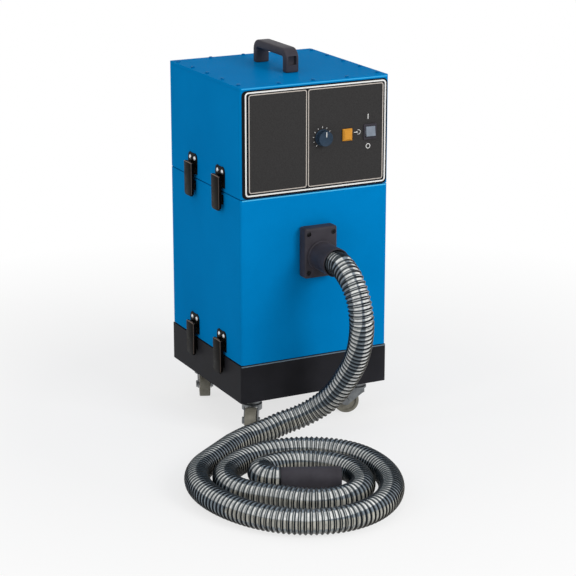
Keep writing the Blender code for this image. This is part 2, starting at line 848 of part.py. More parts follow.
# Power inlet low on the rear of the head
power_z = z_head + power_rise
power_outline = rounded(power_width, power_height, power_wall, 2)
power_mesh = moved(plate([power_outline], -power_flange_depth, 0), upright)
power = keep("power_inlet", power_mesh, moulded, at=(power_x, case_y + rear + gap, power_z), smooth=False)
power_w, power_h = power_body_width / 2, power_body_height / 2
power_body = block((-power_w, -power_body_depth, -power_h), (power_w, power_flange_depth / 2, power_h))
fuse(power, power_body, "body")
well_w, well_h = power_w - power_wall, power_h - power_wall
well = block(
    (-well_w, power_wall - power_body_depth, -well_h), (well_w, power_flange_depth + overrun, well_h)
)
cut(power, well, "well")
for n in (-1, 0, 1):
    x = n * power_blade_pitch
    z = power_blade_height / 2 if n == 0 else -power_blade_height / 2
    blade = block(
        (x - power_blade_width / 2, -power_body_depth + power_wall / 2, z - power_blade_height / 2),
        (x + power_blade_width / 2, power_blade_length - power_body_depth, z + power_blade_height / 2),
    )
    fuse(power, blade, f"contact_{n + 2}")
cut(
    motor_housing,
    block(
        (power_x - power_w - gap, rear - sheet - overrun, power_z - power_h - gap),
        (power_x + power_w + gap, rear + overrun, power_z + power_h + gap),
    ),
    "power_opening",
)

# Latches. Each is made about its seam: x is outwards from the wall above the seam, z is up from the seam
plate_in, plate_out = -sheet / 2, gap + latch_plate


def latch_base():
    """The riveted plate with two lobes on top and the two ears that carry the lever."""
    half, rise = latch_plate_width / 2, latch_plate_top - lobe_radius
    outline = [(-half, latch_plate_bottom), (half, latch_plate_bottom)]
    outline += arc(half - lobe_radius, rise, lobe_radius, 0, math.pi - lobe_dip, 3)
    outline += arc(lobe_radius - half, rise, lobe_radius, lobe_dip, math.pi, 3)
    made = keep("base_blank", moved(plate([outline], plate_in, plate_out), sideways), latch_finish)
    for side in (-1, 1):
        y = side * (ear_y + ear_thickness / 2)
        ear = [(plate_in, latch_pivot_up - 2 * ear_radius), (plate_in, latch_pivot_up + 2 * ear_radius)]
        ear += arc(latch_pivot_out, latch_pivot_up, ear_radius, math.pi / 2, -math.pi / 2, 4)
        hole = arc(latch_pivot_out, latch_pivot_up, pin_radius + pin_room, 0, 2 * math.pi, 6)[:-1]
        flat = plate([ear[::-1], hole], -ear_thickness / 2, ear_thickness / 2)
        fuse(made, shifted(moved(flat, upright), y=y), f"ear_{side + 1}")
    return taken(made)


def taken(blank):
    """The mesh of a blank with all its cuts and fused shapes. The blank and its helpers are removed."""
    helpers = [modifier.object for modifier in blank.modifiers]
    graph = bpy.context.evaluated_depsgraph_get()
    mesh = bpy.data.meshes.new_from_object(blank.evaluated_get(graph))
    for helper in [*helpers, blank]:
        bpy.data.objects.remove(helper, do_unlink=True)
    return mesh


def latch_lever():
    """The tray shaped lever about its pivot, with its stub pins and the cranked hook pin."""
    half = lever_width / 2
    skin_out = lever_skin_in + lever_skin
    body = block((-lever_flange_in, -half, -lever_bottom), (skin_out, half, lever_top))
    made = keep("lever_blank", body, latch_finish)
    room = half - lever_flange
    inside = (-lever_flange_in - overrun, -room, -lever_bottom + lever_flange)
    cut(made, block(inside, (lever_skin_in, room, lever_top + overrun)), "room")
    for side in (-1, 1):
        y = side * (lug_y + lug_thickness / 2)
        lug = block(
            (-lug_radius, y - lug_thickness / 2, crank - lug_radius),
            (lever_skin_in + lever_skin / 2, y + lug_thickness / 2, lever_top),
        )
        fuse(made, lug, f"lug_{side + 1}")
        inner = ear_y - gap
        stub = rod(pin_radius, inner, half - lever_flange / 2, sides=6)
        fuse(made, moved(stub, Matrix.Rotation(-side * math.pi / 2, 4, "X")), f"stub_{side + 1}")
    hook_pin = rod(hook_pin_radius, -lug_y - lug_thickness / 2, lug_y + lug_thickness / 2, sides=6)
    fuse(made, shifted(moved(hook_pin, upright), z=crank), "hook_pin")
    return taken(made)


keeper_under = -keeper_top - keeper_lip
hook_x = latch_pivot_out
hook_z = latch_pivot_up + crank
keeper_lip_out = hook_x - hook_thickness / 2 - 2 * gap


def latch_hook():
    """The hook about its eye: rolled eye, strap and the claw that turns up behind the keeper's lip."""
    t = hook_thickness / 2
    inner = hook_pin_radius + pin_room
    claw_top = keeper_under + claw_overlap - hook_z
    claw_in = claw_out - hook_x
    under = keeper_under - gap - hook_z
    end = 2 * math.pi - hook_eye_close
    outline = arc(0, 0, hook_eye_radius, -hook_eye_open, end, 6)
    outline += arc(0, 0, inner, end, -hook_eye_open, 6)[:-1]
    outline += [
        (-t, -hook_eye_radius),
        (-t, under),
        (claw_in + hook_thickness, under),
        (claw_in + hook_thickness, claw_top),
        (claw_in, claw_top),
        (claw_in, under - hook_thickness),
        (t, under - hook_thickness),
    ]
    return moved(plate([outline], -hook_width / 2, hook_width / 2), upright)


def latch_keeper(step):
    """The keeper on the section below the seam, whose wall is a step further out. Its lip points down."""
    wall = step + plate_in
    face = step + plate_out
    lip_in = keeper_lip_out - latch_plate
    outline = [
        (wall, -keeper_bottom),
        (face, -keeper_bottom),
        (face, -keeper_top - latch_plate),
        (lip_in, -keeper_top - latch_plate),
        (lip_in, keeper_under),
        (keeper_lip_out, keeper_under),
        (keeper_lip_out, -keeper_top),
        (wall, -keeper_top),
    ]
    return moved(plate([outline], -keeper_width / 2, keeper_width / 2), upright)


base_shape, lever_shape, hook_shape = latch_base(), latch_lever(), latch_hook()
seams = (
    ("lower", z_seam_low, base_proud, filter_housing, base_tray),
    ("upper", z_seam_high, 0.0, motor_housing, filter_housing),
)
for level, seam_z, step, above, below in seams:
    bases, keepers = [], []
    for side_name, side in (("left", -1), ("right", 1)):
        for end_name, along in (("front", latch_front_y), ("rear", latch_rear_y)):
            turn = 0.0 if side > 0 else math.pi
            wall = Vector((side * case_width / 2, along, seam_z))
            stand = Matrix.Translation(wall) @ Matrix.Rotation(turn, 4, "Z")
            bases.append(moved(base_shape.copy(), stand))
            keepers.append(moved(latch_keeper(step), stand))
            spot = f"{level}_{side_name}_{end_name}"
            pivot = bpy.data.objects.new(f"pivot_{spot}", None)
            pivot.location = stand @ Vector((latch_pivot_out, 0, latch_pivot_up)) + Vector((0, case_y, 0))
            pivot.rotation_euler[2] = turn
            parts.objects.link(pivot)
            keep(f"lever_{spot}", lever_shape.copy(), latch_finish, parent=pivot, smooth=False)
            hook = keep(f"hook_{spot}", hook_shape.copy(), latch_finish, parent=pivot, smooth=False)
            hook.location = (0, 0, crank)
    fuse(above, group(bases), f"{level}_latch_bases")
    fuse(below, group(keepers), f"{level}_latch_keepers")

# Swivel casters. Each fork trails towards its heading, measured from +X
race_top = z_base - gap - caster_plate_thickness
crown_z = z_base - crown_drop
race_profile = [
    (0, race_top + weld),
    (race_radius, race_top + weld),
    (race_radius, (race_top + crown_z) / 2),
    (race_lip_radius, crown_z + gap),
    (0, crown_z + gap),
]


def fork(name, heading, parent):
    """Hood under the race with two legs down to the axle, made with the axle on +X from the swivel."""
    inside = wheel_width / 2 + fork_room
    outside = inside + fork_leg
    wheel_way = wheel_width / 2 + hood_room
    hood_end = hood_radius + overrun
    hood_profile = [
        (0, 0),
        (hood_radius, 0),
        (hood_radius, -hood_depth),
        (hood_radius - fork_leg, -hood_depth),
        (hood_radius - fork_leg, -crown_thickness),
        (0, -crown_thickness),
    ]
    made = keep(name, lathe(hood_profile, 24), zinc, turn=heading, parent=parent)
    opening = block(
        (-hood_end, -wheel_way, -hood_depth - overrun),
        (hood_end, wheel_way, -crown_thickness - gap),
    )
    cut(made, opening, "wheel_way")
    axle_z = wheel_radius - crown_z
    leg = [(-fork_top_half, -crown_thickness / 2), (-fork_top_half, -hood_depth)]
    leg += arc(caster_trail, axle_z, fork_eye_radius, math.pi + fork_eye_rise, 2 * math.pi + fork_eye_rise, 5)
    leg += [(fork_top_half, -crown_thickness / 2)]
    hole = arc(caster_trail, axle_z, axle_radius + gap, 0, 2 * math.pi, 8)[:-1]
    for side in (-1, 1):
        flat = plate([leg, hole], -fork_leg / 2, fork_leg / 2)
        y = side * (inside + outside) / 2
        fuse(made, shifted(moved(flat, upright), y=y), f"leg_{side + 1}")
    return made


def wheel_mesh():
    """The moulded wheel about its axle, which lies along Y."""
    half = wheel_width / 2
    web = half - wheel_recess
    profile = [
        (wheel_bore_radius, half),
        (wheel_hub_radius, half),
        (wheel_web_radius, web),
        (wheel_web_radius, half),
        (wheel_radius, half - wheel_edge),
        (wheel_radius, wheel_edge - half),
        (wheel_web_radius, -half),
        (wheel_web_radius, -web),
        (wheel_hub_radius, -half),
        (wheel_bore_radius, -half),
        (wheel_bore_radius, half),
    ]
    return moved(lathe(profile, 14), upright)


def axle_mesh():
    """The axle bolt with its head and nut outside the fork legs."""
    outside = wheel_width / 2 + fork_room + fork_leg + gap
    end = outside + axle_head_depth
    profile = [
        (0, end),
        (axle_head_radius, end),
        (axle_head_radius, outside),
        (axle_radius, outside),
        (axle_radius, -outside),
        (axle_head_radius, -outside),
        (axle_head_radius, -end),
        (0, -end),
    ]
    return moved(lathe(profile, 6), upright)


casters = (
    ("front_left", -1, -1, math.radians(238.5)),
    ("front_right", 1, -1, math.radians(153.0)),
    ("rear_left", -1, 1, math.radians(247.5)),
    ("rear_right", 1, 1, math.radians(215.0)),
)
for spot, sx, sy, heading in casters:
    inset_x = caster_inset_rear_x if sy > 0 else caster_inset_x
    x = sx * (case_width / 2 - inset_x)
    y = case_y + sy * (case_depth / 2 - caster_inset_y)
    square = [rounded(caster_plate, caster_plate, corner_radius, 2)]
    mount = keep(f"caster_plate_{spot}", plate(square, race_top, z_base - gap), zinc, at=(x, y, 0))
    fuse(mount, lathe(race_profile, 16), "race")
    swivel = bpy.data.objects.new(f"swivel_{spot}", None)
    swivel.location = (x, y, crown_z)
    parts.objects.link(swivel)
    fork(f"caster_fork_{spot}", heading, swivel)
    axle_at = Matrix.Rotation(heading, 4, "Z") @ Vector((caster_trail, 0, wheel_radius - crown_z))
    keep(f"caster_axle_{spot}", axle_mesh(), zinc, at=axle_at, turn=heading, parent=swivel)
    keep(f"wheel_{spot}", wheel_mesh(), polyurethane, at=axle_at, turn=heading, parent=swivel)


# Hose
straight_run = 2 * hose_radius


def unit(vector):
    return vector / np.linalg.norm(vector)


def smooth_curve(points, samples=40):
    """Points close together on the smooth curve through the given ones."""
    known = np.array(points, float)
    ends = np.vstack([2 * known[0] - known[1], known, 2 * known[-1] - known[-2]])
    found = []
    for n in range(1, len(ends) - 2):
        p0, p1, p2, p3 = ends[n - 1 : n + 3]
        t1 = np.linalg.norm(p1 - p0) ** 0.5
        t2 = t1 + np.linalg.norm(p2 - p1) ** 0.5
        t3 = t2 + np.linalg.norm(p3 - p2) ** 0.5
        for t in np.linspace(t1, t2, samples, endpoint=False):
            a1 = (t1 - t) / t1 * p0 + t / t1 * p1
            a2 = (t2 - t) / (t2 - t1) * p1 + (t - t1) / (t2 - t1) * p2
            a3 = (t3 - t) / (t3 - t2) * p2 + (t - t2) / (t3 - t2) * p3
            b1 = (t2 - t) / t2 * a1 + t / t2 * a2
            b2 = (t3 - t) / (t3 - t1) * a2 + (t - t1) / (t3 - t1) * a3
            found.append((t2 - t) / (t2 - t1) * b1 + (t - t1) / (t2 - t1) * b2)
    found.append(known[-1])
    return np.array(found)


def spaced(line, step):
    """Points along a line, a step apart as nearly as whole steps allow."""
    run = np.concatenate([[0], np.cumsum(np.linalg.norm(np.diff(line, axis=0), axis=1))])
    count = max(2, round(run[-1] / step))
    places = np.linspace(0, run[-1], count + 1)
    return np.column_stack([np.interp(places, run, line[:, k]) for k in range(3)])


def sparse(line):
    """Points of a line that are close together only where it bends."""
    fine = spaced(line, hose_radius / 8)
    steps = np.diff(fine, axis=0)
    kept = [0]
    for n in range(1, len(fine) - 1):
        before, here = steps[kept[-1]], steps[n]
        turn = math.acos(min(1.0, float(unit(before) @ unit(here))))
        if turn > hose_bore_turn or np.linalg.norm(fine[n] - fine[kept[-1]]) > hose_bore_step:
            kept.append(n)
    return fine[[*kept, len(fine) - 1]]


def length_of(line):
    return float(np.linalg.norm(np.diff(line, axis=0), axis=1).sum())


def tube(points, radii):
    """A closed tube along the points, each with its own radius."""
    curve = bpy.data.curves.new("tube", "CURVE")
    curve.dimensions = "3D"
    curve.bevel_depth = hose_radius
    curve.bevel_resolution = 2
    curve.use_fill_caps = True
    curve.twist_mode = "MINIMUM"
    spline = curve.splines.new("POLY")
    spline.points.add(len(points) - 1)
    for point, place, radius in zip(spline.points, points, radii):
        point.co = (*place, 1)
        point.radius = radius / hose_radius
    return evaluated_mesh(bpy.data.objects.new("tube", curve))


def hose(name, line):
    """A ribbed hose along a line, open from end to end."""
    ribs = spaced(line, hose_rib_pitch / 2)
    radii = [hose_radius if n % 2 else hose_root_radius for n in range(len(ribs))]
    made = keep(name, tube(ribs, radii), hose_finish)
    core = sparse(line)
    first, last = core[0] - core[1], core[-1] - core[-2]
    core[0] += first / np.linalg.norm(first) * overrun
    core[-1] += last / np.linalg.norm(last) * overrun
    cut(made, tube(core, [hose_bore_radius] * len(core)), "bore")
    return len(ribs) // 2


def eased(angle, start, end):
    """A share that goes smoothly from 0 to 1 as the angle goes from start to end."""
    share = min(1.0, max(0.0, (angle - start) / (end - start)))
    return share * share * (3 - 2 * share)


def coil_place(angle):
    radius = coil_radius
    radius += coil_oval[0] * math.cos(2 * angle) + coil_oval[1] * math.sin(2 * angle)
    radius += coil_lobes[0] * math.cos(3 * angle) + coil_lobes[1] * math.sin(3 * angle)
    radius -= coil_step * eased(angle, coil_step_from, coil_step_to)
    from_pinch = min(math.pi / 2, abs(angle - coil_pinch_at))
    radius -= coil_pinch * math.cos(from_pinch) ** 2
    radius -= coil_draw * eased(angle, coil_draw_from, coil_draw_to)
    return np.array([coil_x + radius * math.cos(angle), coil_y + radius * math.sin(angle), hose_radius])


def coil_line():
    """The coil from its straight start, through its turns and the return bend, to its straight end."""
    turns = (coil_end - coil_start) / (2 * math.pi)
    angles = np.linspace(coil_start, coil_end, round(coil_points_per_turn * turns) + 1)
    loops = [coil_place(a) for a in angles]
    lead_in = unit(loops[1] - loops[0])
    start = loops[0] - lead_in * straight_run
    run = loops[-1] - loops[-2]
    heading = math.atan2(run[1], run[0]) % (2 * math.pi)
    centre = loops[-1] + coil_bend_radius * np.array([-math.sin(heading), math.cos(heading), 0])
    bend_turn = coil_end_heading - heading
    steps = math.ceil(coil_points_per_turn * bend_turn / (2 * math.pi))
    for n in range(1, steps + 1):
        a = heading - math.pi / 2 + bend_turn * n / steps
        loops.append(centre + coil_bend_radius * np.array([math.cos(a), math.sin(a), 0]))
    rounds = np.array(loops)
    places = np.concatenate([[0], np.cumsum(np.linalg.norm(np.diff(rounds, axis=0), axis=1))])
    rounds[:, 2] += [coil_rise * eased(p, places[-1] - coil_rise_length, places[-1]) for p in places]
    out = np.array([math.cos(coil_end_heading), math.sin(coil_end_heading), 0])
    end = rounds[-1] + out * straight_run
    return np.vstack([[start], rounds, [end]]), out, lead_in


def least_self_gap(line):
    """The least distance between two stretches of the hose that aren't next to each other."""
    points = spaced(line, hose_radius / 4)
    step = length_of(points) / (len(points) - 1)
    apart = math.ceil(math.pi * hose_radius / step)
    least = math.inf
    for n in range(len(points) - apart):
        rest = points[n + apart :]
        least = min(least, float(np.linalg.norm(rest - points[n], axis=1).min()))
    return least - 2 * hose_radius


hose_start = Vector((0, case_y + machine_front + hose_grip - gap, inlet_z))
lead_straight = hose_start - Vector((0, straight_run, 0))
coil, coil_out, coil_in = coil_line()
meeting = coil[0] - coil_in * gap
landing = meeting - coil_in * straight_run
lead_curve = smooth_curve([lead_straight, *lead_route, landing])
lead = np.vstack([[hose_start], lead_curve, [meeting]])
lead_ribs = hose("hose_lead", lead)
tail_start = coil[-1] - coil_out * (straight_run - tail_break_share * hose_rib_pitch)
coil_ribs = hose("hose_coil", np.vstack([coil[:-1], [tail_start - coil_out * gap]]))
tail_ribs = hose("hose_tail", np.vstack([[tail_start], [coil[-1]]]))

cuff_heading = math.atan2(coil_out[1], coil_out[0])
cuff_visible = cuff_length - cuff_plug
plug_radius = hose_bore_radius * math.cos(math.pi / 8) - 2 * gap
cuff_face = coil[-1] + coil_out * gap
cuff_profile = [
    (cuff_radius, cuff_visible),
    (cuff_radius, 0),
    (plug_radius, 0),
    (plug_radius, -cuff_plug),
    (plug_radius - cuff_wall, -cuff_plug),
    (plug_radius - cuff_wall, cuff_visible),
    (cuff_radius, cuff_visible),
]
cuff_mesh = moved(lathe(cuff_profile, 20), along_x)
keep("hose_cuff", cuff_mesh, rubber, at=cuff_face, turn=cuff_heading)

print(f"machine {machine_rear - machine_front:.4f} deep, case middle at y = {case_y:.5f}")
print(f"hose lead {length_of(lead):.3f} m with {lead_ribs} ribs")
print(f"hose coil {length_of(coil):.3f} m with {coil_ribs} ribs and {tail_ribs} on its tail over the plug")
print(f"least gap of the coil to itself {least_self_gap(coil) * 1000:.2f} mm")
print(f"least gap of the lead to itself {least_self_gap(lead) * 1000:.2f} mm")
whole = np.vstack([lead, coil])
print(f"least gap of the whole hose to itself {least_self_gap(whole) * 1000:.2f} mm")
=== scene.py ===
import math

import bpy
import numpy as np
from mathutils import Matrix, Vector


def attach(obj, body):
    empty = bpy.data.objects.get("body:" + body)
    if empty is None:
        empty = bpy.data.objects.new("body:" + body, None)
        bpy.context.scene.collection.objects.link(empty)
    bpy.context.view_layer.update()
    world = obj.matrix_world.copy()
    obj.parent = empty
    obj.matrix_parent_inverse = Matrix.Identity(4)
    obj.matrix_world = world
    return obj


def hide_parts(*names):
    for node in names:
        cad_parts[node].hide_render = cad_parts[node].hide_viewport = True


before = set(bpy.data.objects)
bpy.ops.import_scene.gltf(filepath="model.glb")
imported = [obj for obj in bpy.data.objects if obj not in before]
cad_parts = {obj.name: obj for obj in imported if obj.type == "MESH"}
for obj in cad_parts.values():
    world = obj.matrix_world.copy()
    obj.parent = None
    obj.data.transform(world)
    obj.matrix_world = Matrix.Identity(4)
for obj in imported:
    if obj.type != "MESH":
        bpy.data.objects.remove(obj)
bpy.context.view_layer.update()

# Camera. It stands well back from the machine's left front corner, a little above the lid, with a long lens,
# so that the front, the left side and the lid all show.
camera_data = bpy.data.cameras.new("camera")
camera_data.lens = 125.78
camera_data.sensor_width = 36
camera = bpy.data.objects.new("camera", camera_data)
camera.location = (-1.6816, -3.3249, 1.3579)
camera.rotation_euler = (math.radians(73.38), 0, math.radians(-26.86))
bpy.context.scene.collection.objects.link(camera)
bpy.context.scene.camera = camera
bpy.context.scene.view_settings.view_transform = "Standard"


# Suction hose. Clear soft PVC wound on a spring steel helix, so that it has a dark rib over each turn of wire
# and a clear hollow web between. It hangs from the inlet, lies down to the left and ends in a flat coil.
class Signal:
    """A value that varies over a surface. Sums and products of it add their maths nodes."""

    def __init__(self, finish, socket):
        self.finish = finish
        self.socket = socket

    def with_maths(self, operation, first, second):
        return self.finish.node("ShaderNodeMath", {"operation": operation}, {0: first, 1: second})["Value"]

    def __add__(self, other):
        return self.with_maths("ADD", self, other)

    def __sub__(self, other):
        return self.with_maths("SUBTRACT", self, other)

    def __rsub__(self, other):
        return self.with_maths("SUBTRACT", other, self)

    def __mul__(self, other):
        return self.with_maths("MULTIPLY", self, other)

    def __abs__(self):
        return self.with_maths("ABSOLUTE", self, 0.0)

    def over(self, other):
        return self.with_maths("GREATER_THAN", self, other)

    def larger(self, other):
        return self.with_maths("MAXIMUM", self, other)

    def wave(self):
        return self.with_maths("SINE", self, 0.0)

    def between(self, low, high):
        return ((high - low) / 2 - abs(self - (low + high) / 2)).over(0.0)


class Finish:
    """A material with one main shader. Uniform values go on the shader, and signals are linked to it.

    A colour is written as on a colour card, with two figures each for red, green and blue."""

    noise_roughness = 0.55

    def __init__(self, name, **values):
        self.material = bpy.data.materials.new(name)
        self.material.use_nodes = True
        self.tree = self.material.node_tree
        self.shader = self.tree.nodes["Principled BSDF"]
        self.set(**values)

    def feed(self, socket, value):
        if isinstance(value, Signal):
            self.tree.links.new(value.socket, socket)
        else:
            socket.default_value = linear(value) if isinstance(value, str) else value

    def set(self, **values):
        for key, value in values.items():
            self.feed(self.shader.inputs[key.replace("_", " ")], value)

    def node(self, kind, settings, inputs):
        made = self.tree.nodes.new(kind)
        for key, value in settings.items():
            setattr(made, key, value)
        for key, value in inputs.items():
            self.feed(made.inputs[key], value)
        return {output.identifier: Signal(self, output) for output in made.outputs}

    def place(self, which="Object"):
        return self.node("ShaderNodeTexCoord", {}, {})[which]

    def axes(self):
        split = self.node("ShaderNodeSeparateXYZ", {}, {0: self.place()})
        return split["X"], split["Y"], split["Z"]

    def stretched(self, scale):
        return self.node("ShaderNodeMapping", {}, {"Vector": self.place("UV"), "Scale": scale})["Vector"]

    def noise(self, scale, detail=3.0, at=None):
        where = self.place() if at is None else at
        inputs = {"Vector": where, "Scale": scale, "Detail": detail, "Roughness": self.noise_roughness}
        return self.node("ShaderNodeTexNoise", {}, inputs)["Fac"]

    def ranged(self, signal, low, high, to_low, to_high):
        inputs = {"Value": signal, "From Min": low, "From Max": high, "To Min": to_low, "To Max": to_high}
        return self.node("ShaderNodeMapRange", {}, inputs)["Result"]

    def mixed(self, factor, first, second):
        settings = {"data_type": "RGBA", "clamp_factor": True}
        return self.node("ShaderNodeMix", settings, {0: factor, 6: first, 7: second})["Result_Color"]

    def toned(self, signal, first, second, low=0.3, high=0.7):
        """The first colour where a signal is low, and the second where it is high."""
        return self.mixed(self.ranged(signal, low, high, 0.0, 1.0), first, second)

    def attribute(self, name):
        return self.node("ShaderNodeAttribute", {"attribute_name": name}, {})["Fac"]

    def grain(self, height, depth, strength):
        inputs = {"Height": height, "Distance": depth, "Strength": strength}
        self.set(Normal=self.node("ShaderNodeBump", {}, inputs)["Normal"])


def linear(code):
    """A colour card's colour, made linear for the shader."""
    parts = [int(code[n : n + 2], 16) / 255 for n in (0, 2, 4)]
    return (*(p / 12.92 if p < 0.04045 else ((p + 0.055) / 1.055) ** 2.4 for p in parts), 1.0)


hose_radius = 0.0235
hose_inset = 0.0005
hose_bore = 0.019
rib_pitch = 0.0088
hose_sides = 32
machine_front = -0.2013
hose_seat = 0.0237
inlet_z = 0.347
cuff_length = 0.107
cuff_reach = 0.062
seat_gap = 0.0003

lead_route = [
    (0.000, -0.257, 0.3295),
    (0.002, -0.272, 0.311),
    (0.004, -0.282, 0.290),
    (0.006, -0.285, 0.270),
    (0.009, -0.283, 0.249),
    (0.013, -0.270, 0.208),
    (0.014, -0.250, 0.168),
    (0.007, -0.228, 0.130),
    (-0.001, -0.213, 0.105),
    (-0.013, -0.197, 0.082),
    (-0.028, -0.184, 0.066),
    (-0.047, -0.174, 0.053),
    (-0.068, -0.167, 0.044),
    (-0.090, -0.163, 0.038),
    (-0.130, -0.164, 0.028),
    (-0.168, -0.171, 0.0240),
]

coil_x = -0.1855
coil_y = -0.3999
coil_radius = 0.1723
coil_oval = (-0.0092, -0.0030)
coil_lobes = (0.0012, 0.0028)
coil_start = math.radians(123.1)
coil_step = 0.050
coil_step_from = math.radians(375.0)
coil_step_to = math.radians(489.0)
coil_pinch = 0.042
coil_pinch_at = math.radians(603.0)
coil_draw = 0.0575
coil_draw_from = math.radians(705.5)
coil_draw_to = math.radians(834.0)
coil_end = math.radians(830.5)
coil_bend_radius = 0.032
coil_end_heading = math.radians(335.7)
coil_rise = 0.006
coil_rise_length = 0.200
coil_points_per_turn = 144


def unit(vector):
    return vector / np.linalg.norm(vector)


def smooth_curve(points, samples=40):
    """Points close together on the smooth curve through the given ones."""
    known = np.array(points, float)
    ends = np.vstack([2 * known[0] - known[1], known, 2 * known[-1] - known[-2]])
    found = []
    for n in range(1, len(ends) - 2):
        p0, p1, p2, p3 = ends[n - 1 : n + 3]
        t1 = np.linalg.norm(p1 - p0) ** 0.5
        t2 = t1 + np.linalg.norm(p2 - p1) ** 0.5
        t3 = t2 + np.linalg.norm(p3 - p2) ** 0.5
        for t in np.linspace(t1, t2, samples, endpoint=False):
            a1 = (t1 - t) / t1 * p0 + t / t1 * p1
            a2 = (t2 - t) / (t2 - t1) * p1 + (t - t1) / (t2 - t1) * p2
            a3 = (t3 - t) / (t3 - t2) * p2 + (t - t2) / (t3 - t2) * p3
            b1 = (t2 - t) / t2 * a1 + t / t2 * a2
            b2 = (t3 - t) / (t3 - t1) * a2 + (t - t1) / (t3 - t1) * a3
            found.append((t2 - t) / (t2 - t1) * b1 + (t - t1) / (t2 - t1) * b2)
    found.append(known[-1])
    return np.array(found)


def run_along(line):
    return np.concatenate([[0], np.cumsum(np.linalg.norm(np.diff(line, axis=0), axis=1))])


def spaced(line, step):
    """Points along a line, a step apart as nearly as whole steps allow."""
    run = run_along(line)
    places = np.linspace(0, run[-1], round(run[-1] / step) + 1)
    return np.column_stack([np.interp(places, run, line[:, k]) for k in range(3)])


def eased(angle, start, end):
    share = min(1.0, max(0.0, (angle - start) / (end - start)))
    return share * share * (3 - 2 * share)


def coil_place(angle):
    radius = coil_radius
    radius += coil_oval[0] * math.cos(2 * angle) + coil_oval[1] * math.sin(2 * angle)
    radius += coil_lobes[0] * math.cos(3 * angle) + coil_lobes[1] * math.sin(3 * angle)
    radius -= coil_step * eased(angle, coil_step_from, coil_step_to)
    from_pinch = min(math.pi / 2, abs(angle - coil_pinch_at))
    radius -= coil_pinch * math.cos(from_pinch) ** 2
    radius -= coil_draw * eased(angle, coil_draw_from, coil_draw_to)
    return np.array([coil_x + radius * math.cos(angle), coil_y + radius * math.sin(angle), hose_radius])


turns = (coil_end - coil_start) / (2 * math.pi)
angles = np.linspace(coil_start, coil_end, round(coil_points_per_turn * turns) + 1)
loops = [coil_place(a) for a in angles]
lead_in = unit(loops[1] - loops[0])
last_run = loops[-1] - loops[-2]
last_heading = math.atan2(last_run[1], last_run[0]) % (2 * math.pi)
bend_centre = loops[-1] + coil_bend_radius * np.array([-math.sin(last_heading), math.cos(last_heading), 0])
bend_turn = coil_end_heading - last_heading
bend_steps = math.ceil(coil_points_per_turn * bend_turn / (2 * math.pi))
for n in range(1, bend_steps + 1):
    a = last_heading - math.pi / 2 + bend_turn * n / bend_steps
    loops.append(bend_centre + coil_bend_radius * np.array([math.cos(a), math.sin(a), 0]))
rounds = np.array(loops)
places = run_along(rounds)
rounds[:, 2] += [coil_rise * eased(p, places[-1] - coil_rise_length, places[-1]) for p in places]
cuff_axis = np.array([math.cos(coil_end_heading), math.sin(coil_end_heading), 0])
cuff_mouth = rounds[-1] + cuff_axis * (2 * hose_radius + cuff_reach)
hose_end = cuff_mouth - cuff_axis * (cuff_length + seat_gap)

hose_start = np.array([0, machine_front + hose_seat, inlet_z])
lead_straight = hose_start - np.array([0, 2 * hose_radius, 0])
landing = rounds[0] - lead_in * 4 * hose_radius
lead_curve = smooth_curve([lead_straight, *lead_route, landing])
hose_line = np.vstack([[hose_start], lead_curve, [rounds[0] - lead_in * 2 * hose_radius], rounds, [hose_end]])
hose_length = float(run_along(hose_line)[-1])

# One rib and one web, ring by ring: how far each ring lies below the crest, and the slot of what follows it.
web_slot, flank_slot, crest_slot = range(3)
rib_profile = (0.0, 0.0, 0.0011, 0.0021, 0.0026, 0.0026, 0.0021, 0.0011)
rib_slots = (crest_slot, flank_slot, flank_slot, web_slot, web_slot, web_slot, flank_slot, flank_slot)
rings_per_rib = len(rib_profile)
rib_count = round(hose_length / rib_pitch)
ring_line = spaced(hose_line, hose_length / (rib_count * rings_per_rib))
ring_count = len(ring_line)
tangents = np.gradient(ring_line, axis=0)
tangents /= np.linalg.norm(tangents, axis=1)[:, None]
ring_start_way = unit(np.array([-0.35, -0.75, 0.55]))
across = ring_start_way - tangents * (tangents @ ring_start_way)[:, None]
across /= np.linalg.norm(across, axis=1)[:, None]
beside = np.cross(tangents, across)
around = np.linspace(0, 2 * math.pi, hose_sides, endpoint=False)


def ring(place, first, second, radius):
    return place + radius * (np.outer(np.cos(around), first) + np.outer(np.sin(around), second))


outer_rings = []
for n in range(ring_count):
    depth = rib_profile[n % rings_per_rib]
    outer_rings.append(ring(ring_line[n], across[n], beside[n], hose_radius - hose_inset - depth))
inner_steps = [*range(0, ring_count - 1, rings_per_rib), ring_count - 1]
inner_rings = [ring(ring_line[n], across[n], beside[n], hose_bore) for n in inner_steps]
hose_points = np.vstack(outer_rings + inner_rings)
hose_faces = []
hose_slots = []
hose_marks = []


def strip(first, second, mark, slot, flip):
    """The faces between two rings, with the places that they have along and around the hose."""
    for j in range(hose_sides):
        k = (j + 1) % hose_sides
        corners = [(first + j, mark[0], j), (first + k, mark[0], j + 1)]
        corners += [(second + k, mark[1], j + 1), (second + j, mark[1], j)]
        corners = corners[::-1] if flip else corners
        hose_faces.append([c[0] for c in corners])
        hose_marks.extend((c[1] / ring_count, c[2] / hose_sides) for c in corners)
        hose_slots.append(slot)


for n in range(ring_count - 1):
    strip(n * hose_sides, (n + 1) * hose_sides, (n, n + 1), rib_slots[n % rings_per_rib], False)
inner_start = ring_count * hose_sides
for number, (n, m) in enumerate(zip(inner_steps, inner_steps[1:])):
    inner_ring = inner_start + number * hose_sides
    strip(inner_ring, inner_ring + hose_sides, (n, m), web_slot, True)
strip(0, inner_start, (0, 0), flank_slot, True)
last_outer = (ring_count - 1) * hose_sides
last_inner = inner_start + (len(inner_steps) - 1) * hose_sides
strip(last_outer, last_inner, (ring_count - 1, ring_count - 1), flank_slot, False)

